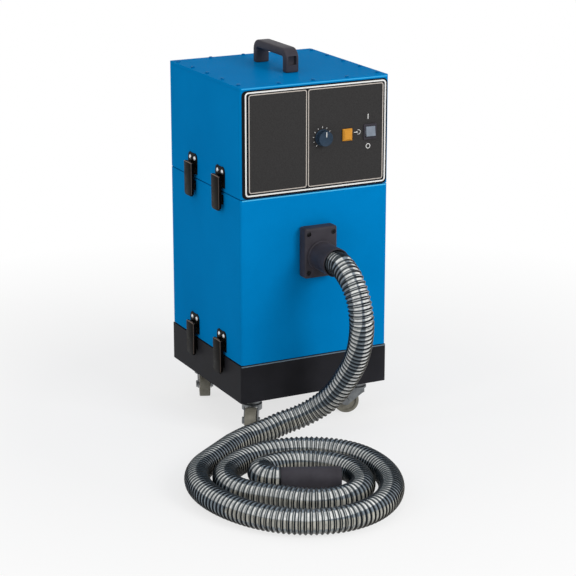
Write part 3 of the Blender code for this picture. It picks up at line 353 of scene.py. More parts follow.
hose_mesh = bpy.data.meshes.new("suction_hose")
hose_mesh.from_pydata(hose_points.tolist(), [], hose_faces)
hose_mesh.polygons.foreach_set("material_index", hose_slots)
hose_mesh.polygons.foreach_set("use_smooth", [True] * len(hose_faces))
hose_marking = hose_mesh.uv_layers.new(name="along_and_around")
hose_marking.data.foreach_set("uv", np.array(hose_marks, np.float32).ravel())

# How far each spot of the wall is turned to the high and to the low window light, for the sheen that is
# painted into the colours of the webs, crests and ribs. The low light comes more from the right the higher
# the hose hangs.
window_lights = (
    ("high_sheen", unit(np.array([-0.55, -0.45, 0.70])), 0.0),
    ("low_sheen", unit(np.array([-0.14, -0.99, 0.04])), 1.3),
)
full_reach = 0.45
unlit_bore = np.full((len(inner_steps), hose_sides), -1.0)
for sheen_name, light_way, turn_with_height in window_lights:
    light_ways = light_way + np.outer(ring_line[:, 2], (turn_with_height, 0.0, 0.0))
    facing = light_ways - tangents * np.sum(tangents * light_ways, axis=1)[:, None]
    reach = np.linalg.norm(facing, axis=1)
    facing *= (np.minimum(1.0, reach / full_reach) / reach)[:, None]
    sheen_across = np.sum(across * facing, axis=1)
    sheen_beside = np.sum(beside * facing, axis=1)
    sheen = np.outer(sheen_across, np.cos(around)) + np.outer(sheen_beside, np.sin(around))
    marking = hose_mesh.attributes.new(sheen_name, "FLOAT", "POINT")
    marking.data.foreach_set("value", np.vstack([sheen, unlit_bore]).ravel())
hose_mesh.update()
hose = bpy.data.objects.new("suction_hose", hose_mesh)
bpy.context.scene.collection.objects.link(hose)


def painted_sheen(finish, under, over, low, high):
    """The wall's colour with painted light: a tone that follows how far it faces the high light, and two
    painted reflection bands where it mirrors the windows.
    """
    unrest = (finish.noise(14.0, 3.0) - 0.5) * 0.06
    high_sheen = finish.attribute("high_sheen") + unrest
    low_sheen = finish.attribute("low_sheen") + unrest
    _, _, height = finish.axes()
    # Painted light and shade: the tone changes with how far the wall faces the high light.
    plain = finish.toned(high_sheen, under, over, -0.3, 0.5)
    # Painted reflection: the low band is dimmer near the floor and brighter higher up.
    low_band = finish.toned(height, low, high, 0.05, 0.12)
    banded = finish.toned(low_sheen, plain, low_band, 0.915, 0.955)
    return finish.toned(high_sheen, banded, high, 0.92, 0.95)


web = Finish("clear_pvc_web", IOR=1.54, Specular_IOR_Level=0.2)
streaks = web.noise(1.0, 2.0, at=web.stretched((260.0, 9.0, 1.0)))
web_painted_sheen = painted_sheen(web, "a8a59b", "88939c", "c2c0b6", "f4f5f3")
web.set(
    Base_Color=web.mixed(web.ranged(streaks, 0.35, 0.6, 0.4, 0.0), web_painted_sheen, "434d55"),
    Roughness=web.ranged(streaks, 0.3, 0.7, 0.12, 0.25),
)
rib = Finish("wire_rib", Roughness=0.3, IOR=1.5, Specular_IOR_Level=0.1)
dust = rib.noise(55.0, 4.0)
rib_tone = rib.toned(dust, "0d1216", "1c242b", 0.4, 0.75)
rib_high = rib.attribute("high_sheen")
# Painted shade and sheen: the ribs' tone follows how far they face the high light, and they take a paler
# painted sheen where they face it most.
rib_painted_shade = rib.toned(rib_high, "2b2a26", rib_tone, -0.2, 0.4)
rib.set(Base_Color=rib.toned(rib_high, rib_painted_shade, "484e51", 0.9, 0.95))
crest = Finish("rib_crest", Roughness=0.2, IOR=1.5, Specular_IOR_Level=0.2)
crest.set(Base_Color=painted_sheen(crest, "5f5d55", "48535b", "96948b", "c2c6c6"))
for finish in (web, rib, crest):
    hose_mesh.materials.append(finish.material)


# Cuff. A plain moulded rubber sleeve with a thinner spigot that is pushed into the end of the hose.
# It lies in the middle of the coil, with its mouth open for a nozzle.
def deselect():
    bpy.ops.object.select_all(action="DESELECT")


def picked(piece, wanted):
    """Opens a piece in edit mode with the faces selected for which wanted(face) holds."""
    deselect()
    bpy.context.view_layer.objects.active = piece
    piece.select_set(True)
    bpy.ops.object.mode_set(mode="EDIT")
    bpy.ops.mesh.select_mode(type="FACE")
    bpy.ops.mesh.select_all(action="DESELECT")
    bpy.ops.object.mode_set(mode="OBJECT")
    for face in piece.data.polygons:
        face.select = bool(wanted(face))
    bpy.ops.object.mode_set(mode="EDIT")


def closed_edit():
    bpy.ops.object.mode_set(mode="OBJECT")


def applied(piece, kind, **settings):
    """Adds a modifier to a piece and applies it."""
    modifier = piece.modifiers.new(kind.lower(), kind)
    for key, value in settings.items():
        setattr(modifier, key, value)
    deselect()
    bpy.context.view_layer.objects.active = piece
    piece.select_set(True)
    bpy.ops.object.modifier_apply(modifier=modifier.name)


def rounded(piece, width, segments, angle=50):
    """Rounds a piece's edges, where they turn by more than the angle."""
    limit = math.radians(angle)
    applied(piece, "BEVEL", width=width, segments=segments, limit_method="ANGLE", angle_limit=limit)


def settled(piece, name, finish, angle=40):
    """Names a piece, puts its place into its mesh, gives it its finish and smooths it up to an angle."""
    piece.name = name
    piece.data.name = name
    deselect()
    bpy.context.view_layer.objects.active = piece
    piece.select_set(True)
    bpy.ops.object.transform_apply(location=True, rotation=True, scale=True)
    bpy.ops.object.shade_smooth_by_angle(angle=math.radians(angle))
    piece.data.materials.clear()
    piece.data.materials.append(finish.material)
    return piece


def tube_piece(radius, inner, length, middle, sides=64, lip=0.0):
    """A sleeve along Z with open ends, made from a cylinder that is bored through."""
    deselect()
    bpy.ops.mesh.primitive_cylinder_add(
        vertices=sides, radius=radius, depth=length, location=middle, end_fill_type="NGON"
    )
    bpy.ops.object.transform_apply(location=True, rotation=True, scale=True)
    piece = bpy.context.object
    picked(piece, lambda face: abs(face.normal.z) > 0.9)
    bpy.ops.mesh.inset(thickness=radius - inner)
    bpy.ops.mesh.bridge_edge_loops()
    closed_edit()
    if lip:
        rounded(piece, lip, 3)
    return piece


def joined(pieces):
    deselect()
    for piece in pieces:
        piece.select_set(True)
    bpy.context.view_layer.objects.active = pieces[0]
    bpy.ops.object.join()
    return pieces[0]


rubber = Finish("moulded_rubber", Roughness=0.5, IOR=1.5, Specular_IOR_Level=0.1)
rubber_grain = rubber.noise(900.0, 3.0)
rubber_bloom = rubber.noise(30.0, 4.0)
rubber.set(
    Base_Color=rubber.toned(rubber_bloom, "38363b", "46444a"),
    Roughness=rubber.ranged(rubber_bloom, 0.3, 0.7, 0.42, 0.62),
)
rubber.grain(rubber_grain, 0.0002, 0.4)

cuff_radius, cuff_bore = 0.0205, 0.0175
spigot_radius, spigot_bore, spigot_length = 0.0180, 0.0155, 0.014
spigot_middle = -cuff_length - spigot_length / 2 + 0.0001
cuff_sleeve = tube_piece(cuff_radius, cuff_bore, cuff_length, (0, 0, -cuff_length / 2), lip=0.0009)
cuff_spigot = tube_piece(spigot_radius, spigot_bore, spigot_length, (0, 0, spigot_middle))
cuff = joined([cuff_sleeve, cuff_spigot])
cuff_turn = Matrix.Rotation(coil_end_heading, 4, "Z") @ Matrix.Rotation(math.pi / 2, 4, "Y")
cuff.data.transform(Matrix.Translation(Vector(cuff_mouth)) @ cuff_turn)
settled(cuff, "hose_end_cuff", rubber)
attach(cuff, "cabinet")
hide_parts("hose_cuff")

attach(hose, "cabinet")
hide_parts("hose_lead", "hose_coil", "hose_tail")


# Inlet flange. A thick moulded plate held by four recessed socket head screws, with a round socket
# that the hose is pushed into.
def cylinder(radius, depth, at, sides=32, axis="Z"):
    """A plain cylinder about an axis, as a start for turned pieces."""
    turn = (math.pi / 2 if axis == "Y" else 0, 0, 0)
    deselect()
    bpy.ops.mesh.primitive_cylinder_add(
        vertices=sides, radius=radius, depth=depth, location=at, rotation=turn
    )
    bpy.ops.object.transform_apply(location=True, rotation=True, scale=True)
    return bpy.context.object


def box_piece(low, high, radius=0.0, segments=3):
    """A block between two corners, with its edges rounded."""
    low, high = Vector(low), Vector(high)
    deselect()
    bpy.ops.mesh.primitive_cube_add(size=1, location=(low + high) / 2)
    piece = bpy.context.object
    piece.scale = high - low
    bpy.ops.object.transform_apply(location=True, rotation=True, scale=True)
    if radius:
        rounded(piece, radius, segments)
    return piece


def carved(piece, tool):
    applied(piece, "BOOLEAN", operation="DIFFERENCE", solver="EXACT", object=tool)
    bpy.data.objects.remove(tool, do_unlink=True)


def copied(piece, places):
    """One piece made of copies of a shape, each with its own mesh, moved by the given matrices."""
    made = []
    for place in places:
        copy = piece.copy()
        copy.data = piece.data.copy()
        copy.data.transform(place)
        bpy.context.scene.collection.objects.link(copy)
        made.append(copy)
    bpy.data.objects.remove(piece, do_unlink=True)
    return joined(made)


front = -0.116
flange_back = front - seat_gap
flange_face = flange_back - 0.025
flange_middle = 0.3525
flange_half_width, flange_half_height = 0.0335, 0.048
flange_holes = [(x, flange_middle + z) for x in (-0.0255, 0.0255) for z in (-0.037, 0.037)]
socket_radius, socket_bore, socket_length, socket_sunk = 0.0270, 0.0241, 0.065, 0.005
moulded = Finish("moulded_black_plastic", Roughness=0.45, IOR=1.5, Specular_IOR_Level=0.08)
moulded_cloud = moulded.noise(22.0, 4.0)
moulded.set(
    Base_Color=moulded.toned(moulded_cloud, "353338", "46434a"),
    Roughness=moulded.ranged(moulded_cloud, 0.3, 0.7, 0.38, 0.55),
)
moulded.grain(moulded.noise(1400.0, 2.0), 0.0002, 0.35)

flange = box_piece(
    (-flange_half_width, flange_face, flange_middle - flange_half_height),
    (flange_half_width, flange_back, flange_middle + flange_half_height),
    radius=0.004,
    segments=4,
)
for x, z in flange_holes:
    carved(flange, cylinder(0.0048, 0.012, (x, flange_face, z), 24, "Y"))
inlet_socket = tube_piece(socket_radius, socket_bore, socket_length, (0, 0, 0), sides=72, lip=0.0012)
socket_middle = (0, flange_face - socket_length / 2 + socket_sunk, inlet_z)
inlet_socket.data.transform(Matrix.Translation(socket_middle) @ Matrix.Rotation(math.pi / 2, 4, "X"))
collar_middle = (0, flange_face - 0.002, inlet_z)
inlet_collar = cylinder(0.0290, 0.006, collar_middle, 72, "Y")
rounded(inlet_collar, 0.002, 3)
carved(inlet_collar, cylinder(socket_bore, 0.02, collar_middle, 72, "Y"))
flange = settled(joined([flange, inlet_socket, inlet_collar]), "inlet_socket_plate", moulded, 35)
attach(flange, "cabinet")
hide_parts("inlet_flange")

black_screw = Finish("black_oxide_screw", Metallic=0.8, Roughness=0.35)
black_screw.set(Base_Color=black_screw.mixed(black_screw.noise(300.0), "1a1a1c", "2b2b2e"))
screw_head = cylinder(0.0041, 0.004, (0, 0, 0), 24, "Y")
rounded(screw_head, 0.0005, 2)
carved(screw_head, cylinder(0.0019, 0.005, (0, -0.0025, 0), 6, "Y"))
screw_place = flange_face + 0.0032
flange_screws = copied(screw_head, [Matrix.Translation((x, screw_place, z)) for x, z in flange_holes])
settled(flange_screws, "flange_screws", black_screw)
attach(flange_screws, "cabinet")

# Blue cabinet sections. Folded and welded sheet steel, powder coated blue with the fine ripple of a sprayed
# coat. The latches' base plates and keepers stand on their side walls and have the latches' black coat.
on_wall = 0.0002
side_wall, tray_wall = 0.153, 0.1545
blue = Finish("blue_powder_coat", IOR=1.5, Specular_IOR_Level=0.001)
blue_cloud = blue.noise(5.0, 4.0)
blue_speck = blue.noise(420.0, 2.0)
blue_mix = blue.ranged(blue_cloud, 0.3, 0.7, 0.0, 1.0) * 0.75 + blue.ranged(blue_speck, 0.3, 0.7, 0.0, 0.25)
_, blue_y, blue_z = blue.axes()
# Painted highlight: a pale blue line along the front fold at the top of the filter housing, fainter along the
# lid's, for the light that the bent edges catch.
on_front = (0.0 - blue_y).over(-front - on_wall)
housing_fold = blue_z.between(0.4598, 0.4622)
lid_fold = blue_z.between(0.6665, 0.6685)
painted_fold_highlight = on_front * housing_fold.larger(lid_fold * 0.6)
painted = blue.mixed(blue_mix, "007bbe", "0285ca")
blue.set(
    Base_Color=blue.mixed(painted_fold_highlight, painted, "52bff0"),
    Roughness=blue.ranged(blue_speck, 0.3, 0.7, 0.34, 0.44),
)
blue.grain(blue.noise(520.0, 2.0), 0.0003, 0.25)

latch_black = Finish("latch_black_coat", Roughness=0.28, IOR=1.5, Specular_IOR_Level=0.02)
latch_cloud = latch_black.noise(60.0, 3.0)
coat_x, coat_y, coat_z = latch_black.axes()
latches_middle_y, latches_middle_z = 0.0155, 0.3340
out_from_wall = abs(coat_x)
# Painted highlight: a pale brown line along the top edges of the levers, and a fainter one along their side
# edges, for the light those edges catch.
lever_top_highlight = abs(coat_z - latches_middle_z).between(0.1587, 0.1599) * out_from_wall.over(0.1625)
lever_side_highlight = abs(coat_y - latches_middle_y).between(0.0609, 0.0621) * out_from_wall.over(0.1638)
latch_tone = latch_black.toned(latch_cloud, "080909", "14110f")
latch_black.set(
    Base_Color=latch_black.mixed(lever_top_highlight.larger(lever_side_highlight * 0.5), latch_tone, "8a7a70"),
    Roughness=latch_black.ranged(latch_cloud, 0.3, 0.7, 0.22, 0.4),
)
latch_black.grain(latch_black.noise(700.0, 2.0), 0.0001, 0.3)


def dressed(node, *finishes):
    """The mesh of a CAD node, with new finishes in its slots."""
    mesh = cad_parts[node].data
    mesh.materials.clear()
    for finish in finishes:
        mesh.materials.append(finish.material)
    return mesh


for node, wall in (("filter_housing", side_wall), ("motor_housing", side_wall), ("base_tray", tray_wall)):
    mesh = dressed(node, blue, latch_black)
    for face in mesh.polygons:
        face.material_index = 1 if abs(face.center.x) > wall + on_wall else 0
dressed("top_cover", blue)

# Base tray. A welded steel tray that catches the dust, powder coated black with a fine texture.
# Its front rim carries a painted highlight, a paler line for the light that its lip catches, and the latches'
# keepers stand on its sides.
black_coat = Finish("black_powder_coat", IOR=1.5, Specular_IOR_Level=0.03)
black_cloud = black_coat.noise(9.0, 4.0)
_, tray_y, tray_z = black_coat.axes()
tray_tone = black_coat.toned(black_cloud, "212124", "2d2d31")
# Painted highlight along the top of the front rim.
painted_rim_highlight = (0.0 - tray_y).over(-front - on_wall) * tray_z.between(0.1413, 0.1435)
black_coat.set(
    Base_Color=black_coat.mixed(painted_rim_highlight, tray_tone, "6f7f8a"),
    Roughness=black_coat.ranged(black_cloud, 0.3, 0.7, 0.4, 0.52),
)
black_coat.grain(black_coat.noise(900.0, 3.0), 0.0003, 0.35)
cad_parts["base_tray"].data.materials[0] = black_coat.material

# Foam strips. Closed cell foam rubber, stuck on the rims of the tray, in black, and of the filter housing, so
# that the seams are tight. The housing's strip is dark blue as painted shade, for the shadow in the seam
# between the blue sections.
# The mat behind the rear grille is of the same black foam.
foam_strip = Finish("foam_rubber_strip", Roughness=0.95)
foam_cells = foam_strip.noise(1500.0, 3.0)
foam_strip.set(Base_Color=foam_strip.mixed(foam_cells, "101012", "242427"))
foam_strip.grain(foam_cells, 0.0004, 0.8)
for node in ("lower_gasket", "exhaust_foam"):
    dressed(node, foam_strip)
seam_shade_foam = Finish("seam_foam_painted_shade", Roughness=0.95, Specular_IOR_Level=0.02)
seam_cells = seam_shade_foam.noise(1500.0, 3.0)
# Painted shade: the housing's strip is dark blue, for the shadow in the seam between the blue sections.
seam_shade_foam.set(Base_Color=seam_shade_foam.mixed(seam_cells, "0b3f60", "11527c"))
dressed("upper_gasket", seam_shade_foam)

# Lid screws. Small pan head screws, painted with the lid, that hold it to the head around its edge:
# five along each side, and three along the front and along the rear.
screw_blue = Finish("painted_screw", IOR=1.5, Specular_IOR_Level=0.05)
screw_blue.set(Base_Color=screw_blue.mixed(screw_blue.noise(300.0), "00649c", "0479b8"), Roughness=0.4)
lid_top, lid_depth = 0.670, 0.314
screw_inset = 0.0095
pan_height = 0.0022
pan_head = cylinder(0.0036, pan_height, (0, 0, 0), 24)
picked(pan_head, lambda face: face.normal.z > 0.9)
bpy.ops.mesh.inset(thickness=0.0009)
bpy.ops.transform.translate(value=(0, 0, 0.0006))
closed_edit()
rounded(pan_head, 0.0004, 2, 30)
slot_half_length, slot_half_width, slot_floor = 0.0019, 0.0003, 0.0008
for half_x, half_y in ((slot_half_length, slot_half_width), (slot_half_width, slot_half_length)):
    carved(pan_head, box_piece((-half_x, -half_y, slot_floor), (half_x, half_y, 0.003)))
side_shares = (0.083, 0.30, 0.51, 0.72, 0.93)
screw_x, screw_ends = side_wall - screw_inset, (front + screw_inset, front + lid_depth - screw_inset)
lid_places = [(sign * screw_x, front + share * lid_depth) for sign in (-1, 1) for share in side_shares]
lid_places += [(x, y) for x in (-0.070, 0.0, 0.070) for y in screw_ends]
lid_screws = copied(pan_head, [Matrix.Translation((x, y, lid_top + pan_height / 2)) for x, y in lid_places])
settled(lid_screws, "lid_screws", screw_blue)
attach(lid_screws, "cabinet")

# Carry handle. A one piece moulded arch, screwed on from below. Its front leg has a deep pocket in its
# outer face, where the moulding is cored out, and the grip's edges are well rounded.
handle_width = 0.027
handle_front, handle_rear, handle_top = -0.023, 0.117, 0.715
handle_foot = lid_top + seat_gap
leg_depth = 0.0155
bend_radius = 0.020
bend_rise = handle_top - bend_radius
deselect()
bpy.ops.mesh.primitive_plane_add(size=1, location=(0, handle_front + leg_depth / 2, handle_foot))
handle = bpy.context.object
handle.scale = (handle_width, leg_depth, 1)
bpy.ops.object.transform_apply(location=True, rotation=True, scale=True)
picked(handle, lambda face: True)


def led_on(y, z):
    bpy.ops.mesh.extrude_region_move(TRANSFORM_OT_translate={"value": (0, y, z)})


def bent_at(y):
    bpy.ops.mesh.spin(steps=8, angle=math.pi / 2, center=(0, y, bend_rise), axis=(1, 0, 0))


led_on(0, bend_rise - handle_foot)
bent_at(handle_front + bend_radius)
led_on(handle_rear - handle_front - 2 * bend_radius, 0)
bent_at(handle_rear - bend_radius)
led_on(0, handle_foot - bend_rise)
bpy.ops.mesh.select_all(action="SELECT")
bpy.ops.mesh.remove_doubles(threshold=0.00001)
bpy.ops.mesh.normals_make_consistent(inside=False)
closed_edit()
rounded(handle, 0.0028, 4)
pocket_half_width, pocket_low, pocket_high = 0.0085, 0.6845, 0.7010
pocket_mouth, pocket_floor = handle_front - 0.004, handle_front + 0.007
pocket_low_corner = (-pocket_half_width, pocket_mouth, pocket_low)
pocket_high_corner = (pocket_half_width, pocket_floor, pocket_high)
carved(handle, box_piece(pocket_low_corner, pocket_high_corner, radius=0.0008, segments=2))
settled(handle, "moulded_carry_handle", moulded, 45)
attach(handle, "cabinet")
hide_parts("carry_handle")

# Control panel. A printed aluminium plate with a satin face. White ink draws the border, the scale of the
# speed knob, the lamp's arrow and the switch's marks, and grey ink draws two frames round the darker fields.
panel_middle = 0.56425
panel_face = -0.1173
frame_low, frame_high = panel_middle - 0.0908, panel_middle + 0.0922
frame_ends = ((-0.1367, -0.0183), (-0.0158, 0.1415))
panel_ink = Finish("panel_satin_black", IOR=1.5, Specular_IOR_Level=0.03)
panel_x, _, panel_z = panel_ink.axes()
in_left, in_right = (panel_x.between(*ends) for ends in frame_ends)
in_frames = panel_z.between(frame_low, frame_high) * in_left.larger(in_right)
panel_speck = panel_ink.noise(500.0, 2.0)
panel_field = panel_ink.toned(panel_speck, "353434", "3c3b3b")
panel_ink.set(
    Base_Color=panel_ink.mixed(in_frames, "16181b", panel_field),
    Roughness=panel_ink.ranged(panel_speck, 0.3, 0.7, 0.36, 0.46),
)
panel_ink.grain(panel_speck, 0.0001, 0.15)
dressed("control_panel", panel_ink)

white_ink = Finish("white_screen_ink", Roughness=0.5)
white_ink.set(Base_Color=white_ink.mixed(white_ink.noise(200.0), "e2e2e0", "f4f4f2"))
ink_depth = 0.00012
ink_back = panel_face - 0.00001


def printed(piece):
    """A flat face in the panel's plane, given the thickness of the ink."""
    picked(piece, lambda face: True)
    led_on(-ink_depth, 0)
    bpy.ops.mesh.select_all(action="SELECT")
    bpy.ops.mesh.normals_make_consistent(inside=False)
    closed_edit()
    return piece


def flat_face(x, z, width, height, turn=0.0):
    deselect()
    bpy.ops.mesh.primitive_plane_add(size=1, rotation=(math.pi / 2, 0, 0))
    piece = bpy.context.object
    piece.scale = (width, height, 1)
    bpy.ops.object.transform_apply(location=True, rotation=True, scale=True)
    place = Matrix.Translation((x, ink_back, z))
    piece.data.transform(place @ Matrix.Rotation(turn, 4, "Y"))
    return piece


def printed_frame(low_x, high_x, low_z, high_z, radius, width):
    """A line round a rectangle with round corners."""
    piece = flat_face((low_x + high_x) / 2, (low_z + high_z) / 2, high_x - low_x, high_z - low_z)
    picked(piece, lambda face: True)
    bpy.ops.mesh.bevel(offset=radius, segments=6, affect="VERTICES")
    bpy.ops.mesh.inset(thickness=width)
    bpy.ops.mesh.delete(type="FACE")
    closed_edit()
    return printed(piece)


def printed_ring(x, z, radius, width):
    piece = cylinder(radius, ink_depth, (x, ink_back - ink_depth / 2, z), 40, "Y")
    picked(piece, lambda face: abs(face.normal.y) > 0.9)
    bpy.ops.mesh.inset(thickness=width)
    bpy.ops.mesh.bridge_edge_loops()
    closed_edit()
    return piece


def printed_bar(x, z, width, height, turn=0.0):
    return printed(flat_face(x, z, width, height, turn))


knob_x, knob_z = 0.014, 0.56425
arrow_z = 0.5673
inner_lines = [printed_frame(low, high, frame_low, frame_high, 0.005, 0.0018) for low, high in frame_ends]
border = printed_frame(-0.1440, 0.1470, panel_middle - 0.0965, panel_middle + 0.0972, 0.007, 0.0028)
on_mark = printed_bar(0.1095, 0.5948, 0.0014, 0.0095)
off_mark = printed_ring(0.1100, 0.5388, 0.0048, 0.0012)
arrow_shaft = printed_bar(0.0825, arrow_z, 0.0055, 0.0010)
prints = [border, on_mark, off_mark, arrow_shaft]
for n in range(11):
    tick_turn = math.radians(-140 + 28 * n)
    reach, height = (0.0192, 0.0034) if n % 5 == 0 else (0.0188, 0.0022)
    tick_x, tick_z = knob_x + reach * math.sin(tick_turn), knob_z + reach * math.cos(tick_turn)
    prints.append(printed_bar(tick_x, tick_z, 0.0009, height, tick_turn))
arrow_head = cylinder(0.0020, ink_depth, (0, 0, 0), 3, "Y")
arrow_tip = Matrix.Translation((0.0862, ink_back - ink_depth / 2, arrow_z))
arrow_head.data.transform(arrow_tip @ Matrix.Rotation(math.pi / 2, 4, "Y"))
prints.append(arrow_head)
lamp_arc = printed_ring(0.0895, arrow_z, 0.0044, 0.0008)
picked(lamp_arc, lambda face: face.center.x < 0.0875)
bpy.ops.mesh.delete(type="FACE")
closed_edit()
prints.append(lamp_arc)
panel_prints = settled(joined(prints), "panel_lines_and_marks", white_ink, 30)
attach(panel_prints, "cabinet")
grey_ink = Finish("grey_screen_ink", Roughness=0.5, Specular_IOR_Level=0.2)
grey_ink.set(Base_Color=grey_ink.mixed(grey_ink.noise(200.0), "b3aaa2", "c6beb6"))
panel_inner_lines = settled(joined(inner_lines), "panel_inner_lines", grey_ink, 30)
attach(panel_inner_lines, "cabinet")

# Speed knob. A moulded fluted knob with a skirt, pushed on the shaft of the speed control.
# A white line on its face points at the scale.
knob_grey = Finish("knob_blue_grey", Roughness=0.4, IOR=1.5, Specular_IOR_Level=0.12)
knob_cloud = knob_grey.noise(120.0, 3.0)
knob_grey.set(Base_Color=knob_grey.mixed(knob_cloud, "22303e", "33465a"))
knob_grey.grain(knob_grey.noise(1500.0, 2.0), 0.0001, 0.3)
grip_depth = 0.0118
grip_middle = panel_face - 0.0030 - grip_depth / 2
knob_grip = cylinder(0.0142, grip_depth, (knob_x, grip_middle, knob_z), 48, "Y")
picked(knob_grip, lambda face: abs(face.normal.y) < 0.5 and face.index % 3 == 0)
bpy.ops.mesh.inset(thickness=0.0002, use_individual=True)
bpy.ops.transform.shrink_fatten(value=-0.0008)
closed_edit()
picked(knob_grip, lambda face: face.normal.y < -0.9)
bpy.ops.mesh.inset(thickness=0.0014)
led_on(0.0005, 0)
closed_edit()
rounded(knob_grip, 0.0005, 2, 55)
knob_skirt = cylinder(0.0155, 0.0028, (knob_x, panel_face - 0.0018, knob_z), 64, "Y")
rounded(knob_skirt, 0.0009, 3)
speed_knob = settled(joined([knob_grip, knob_skirt]), "fluted_speed_knob", knob_grey, 35)
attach(speed_knob, "speed_knob")
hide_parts("speed_knob")
pointer_face, pointer_back = panel_face - 0.0152, panel_face - 0.0143
pointer_line = box_piece(
    (knob_x + 0.0003, pointer_face, knob_z + 0.0030), (knob_x + 0.0017, pointer_back, knob_z + 0.0122)
)
settled(pointer_line, "knob_pointer", white_ink)
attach(pointer_line, "speed_knob")

# Filter lamp and power switch. The lamp has a square amber lens with sloped edges and fine ribs inside.
# The switch is a snap in rocker in a moulded bezel.
amber = Finish("amber_lens", Roughness=0.22, IOR=1.5, Specular_IOR_Level=0.2)
amber_x, _, amber_z = amber.axes()
lens_rate = 2600.0
lens_ribs = ((amber_z * lens_rate).wave() * (amber_x * lens_rate).wave() + 1.0) * 0.5
amber.set(Base_Color=amber.mixed(lens_ribs, "c98420", "dc9c38"))
dressed("filter_lamp", amber)
dressed("switch_bezel", moulded)
rocker_grey = Finish("rocker_blue_grey", Roughness=0.3, IOR=1.5, Specular_IOR_Level=0.2)
rocker_cloud = rocker_grey.noise(90.0, 3.0)
_, _, rocker_z = rocker_grey.axes()
rocker_tone = rocker_grey.mixed(rocker_cloud, "6d7782", "8a93a0")
# Painted shade: the rocker's lower part is nearly black, as if in shade.
shaded_half = (0.5582 - rocker_z).over(0.0)
rocker_grey.set(Base_Color=rocker_grey.mixed(shaded_half, rocker_tone, "1b1f24"))
rocker_grey.grain(rocker_grey.noise(1600.0, 2.0), 0.0001, 0.25)
dressed("power_rocker", rocker_grey)
dressed("speed_control", moulded)

# Latches. Pressed steel over-centre latches with a black coat, two along each side of both seams. A lever is
# a hollow tray on a pivot pin, with two lugs for its hook. Two domed steel rivets hold each base plate.
seams = {"lower": 0.144, "upper": 0.463}
sides = {"left": -1, "right": 1}
latch_ends = {"front": -0.030, "rear": 0.093}
pivot_out, pivot_rise = 0.1615, 0.026


def latch_lever():
    """A lever of the right side about its pivot, thinner to its lower end, with the lower corners cut."""
    depth, width, length = 0.0062, 0.032, 0.0656
    wall, hollow, taper = 0.0012, 0.0050, 0.0004
    deselect()
    bpy.ops.mesh.primitive_cube_add(size=1, location=(0.0006, 0, -0.0281))
    lever = bpy.context.object
    lever.scale = (depth, width, length)
    bpy.ops.object.transform_apply(location=True, rotation=True, scale=True)
    for corner in lever.data.vertices:
        if corner.co.z < -0.05 and corner.co.x > 0:
            corner.co.x -= taper
    picked(lever, lambda face: face.normal.x < -0.9)
    bpy.ops.mesh.inset(thickness=wall)
    bpy.ops.mesh.extrude_region_move(TRANSFORM_OT_translate={"value": (hollow, 0, 0)})
    closed_edit()
    inner_half = width / 2 - wall
    carved(lever, box_piece((-0.01, -inner_half, -0.003), (0.0025, inner_half, 0.02)))
    for sign in (-1, 1):
        corner_tool = box_piece((-0.02, -0.008, -0.008), (0.02, 0.008, 0.008))
        place = Matrix.Translation((0, sign * 0.0196, -0.0645))
        corner_tool.data.transform(place @ Matrix.Rotation(math.radians(45), 4, "X"))
        carved(lever, corner_tool)
    rounded(lever, 0.0004, 3, 40)
    fittings = [cylinder(0.0008, 0.0212, (0, 0, 0.004), 16, "Y")]
    for sign in (-1, 1):
        fittings.append(cylinder(0.0009, 0.0050, (0, sign * 0.0128, 0), 16, "Y"))
        lug_low, lug_high = sign * 0.0100 - 0.0006, sign * 0.0100 + 0.0006
        lug = box_piece((-0.0013, lug_low, 0.0026), (0.0027, lug_high, 0.0046), radius=0.0003, segments=2)
        fittings.append(lug)
    return joined([lever, *fittings])


def facing_out(sign):
    """Turns a shape of the right side to face out of the right or the left side."""
    return Matrix.Rotation(0 if sign > 0 else math.pi, 4, "Z")


lever_shape = latch_lever()
for level, seam in seams.items():
    for side, sign in sides.items():
        for end, latch_y in latch_ends.items():
            node = f"{level}_{side}_{end}"
            lever = lever_shape.copy()
            lever.data = lever_shape.data.copy()
            bpy.context.scene.collection.objects.link(lever)
            pivot = Matrix.Translation((sign * pivot_out, latch_y, seam + pivot_rise))
            lever.data.transform(pivot @ facing_out(sign))
            settled(lever, f"pressed_lever_{node}", latch_black, 35)
            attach(lever, f"lever_{node}")
            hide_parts(f"lever_{node}")
            dressed(f"hook_{node}", latch_black)
bpy.data.objects.remove(lever_shape, do_unlink=True)

rivet_steel = Finish("bright_rivet", Metallic=1.0, Roughness=0.42)
rivet_steel.set(Base_Color=rivet_steel.mixed(rivet_steel.noise(250.0), "b9bcc0", "e6e8ea"))
plate_out, rivet_rise = 0.1544, 0.038
deselect()
bpy.ops.mesh.primitive_uv_sphere_add(segments=24, ring_count=12, radius=0.0042)
rivet = bpy.context.object
picked(rivet, lambda face: True)
bpy.ops.mesh.bisect(plane_co=(0, 0, 0), plane_no=(-1, 0, 0), clear_outer=True, use_fill=True)
bpy.ops.mesh.select_all(action="SELECT")
bpy.ops.transform.resize(value=(0.45, 1, 1), center_override=(0, 0, 0))
closed_edit()
rivet_places = []
for sign in sides.values():
    for seam in seams.values():
        for latch_y in latch_ends.values():
            for offset in (-0.010, 0.010):
                face = Matrix.Translation((sign * plate_out, latch_y + offset, seam + rivet_rise))
                rivet_places.append(face @ facing_out(sign))
rivets = settled(copied(rivet, rivet_places), "latch_rivets", rivet_steel)
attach(rivets, "cabinet")

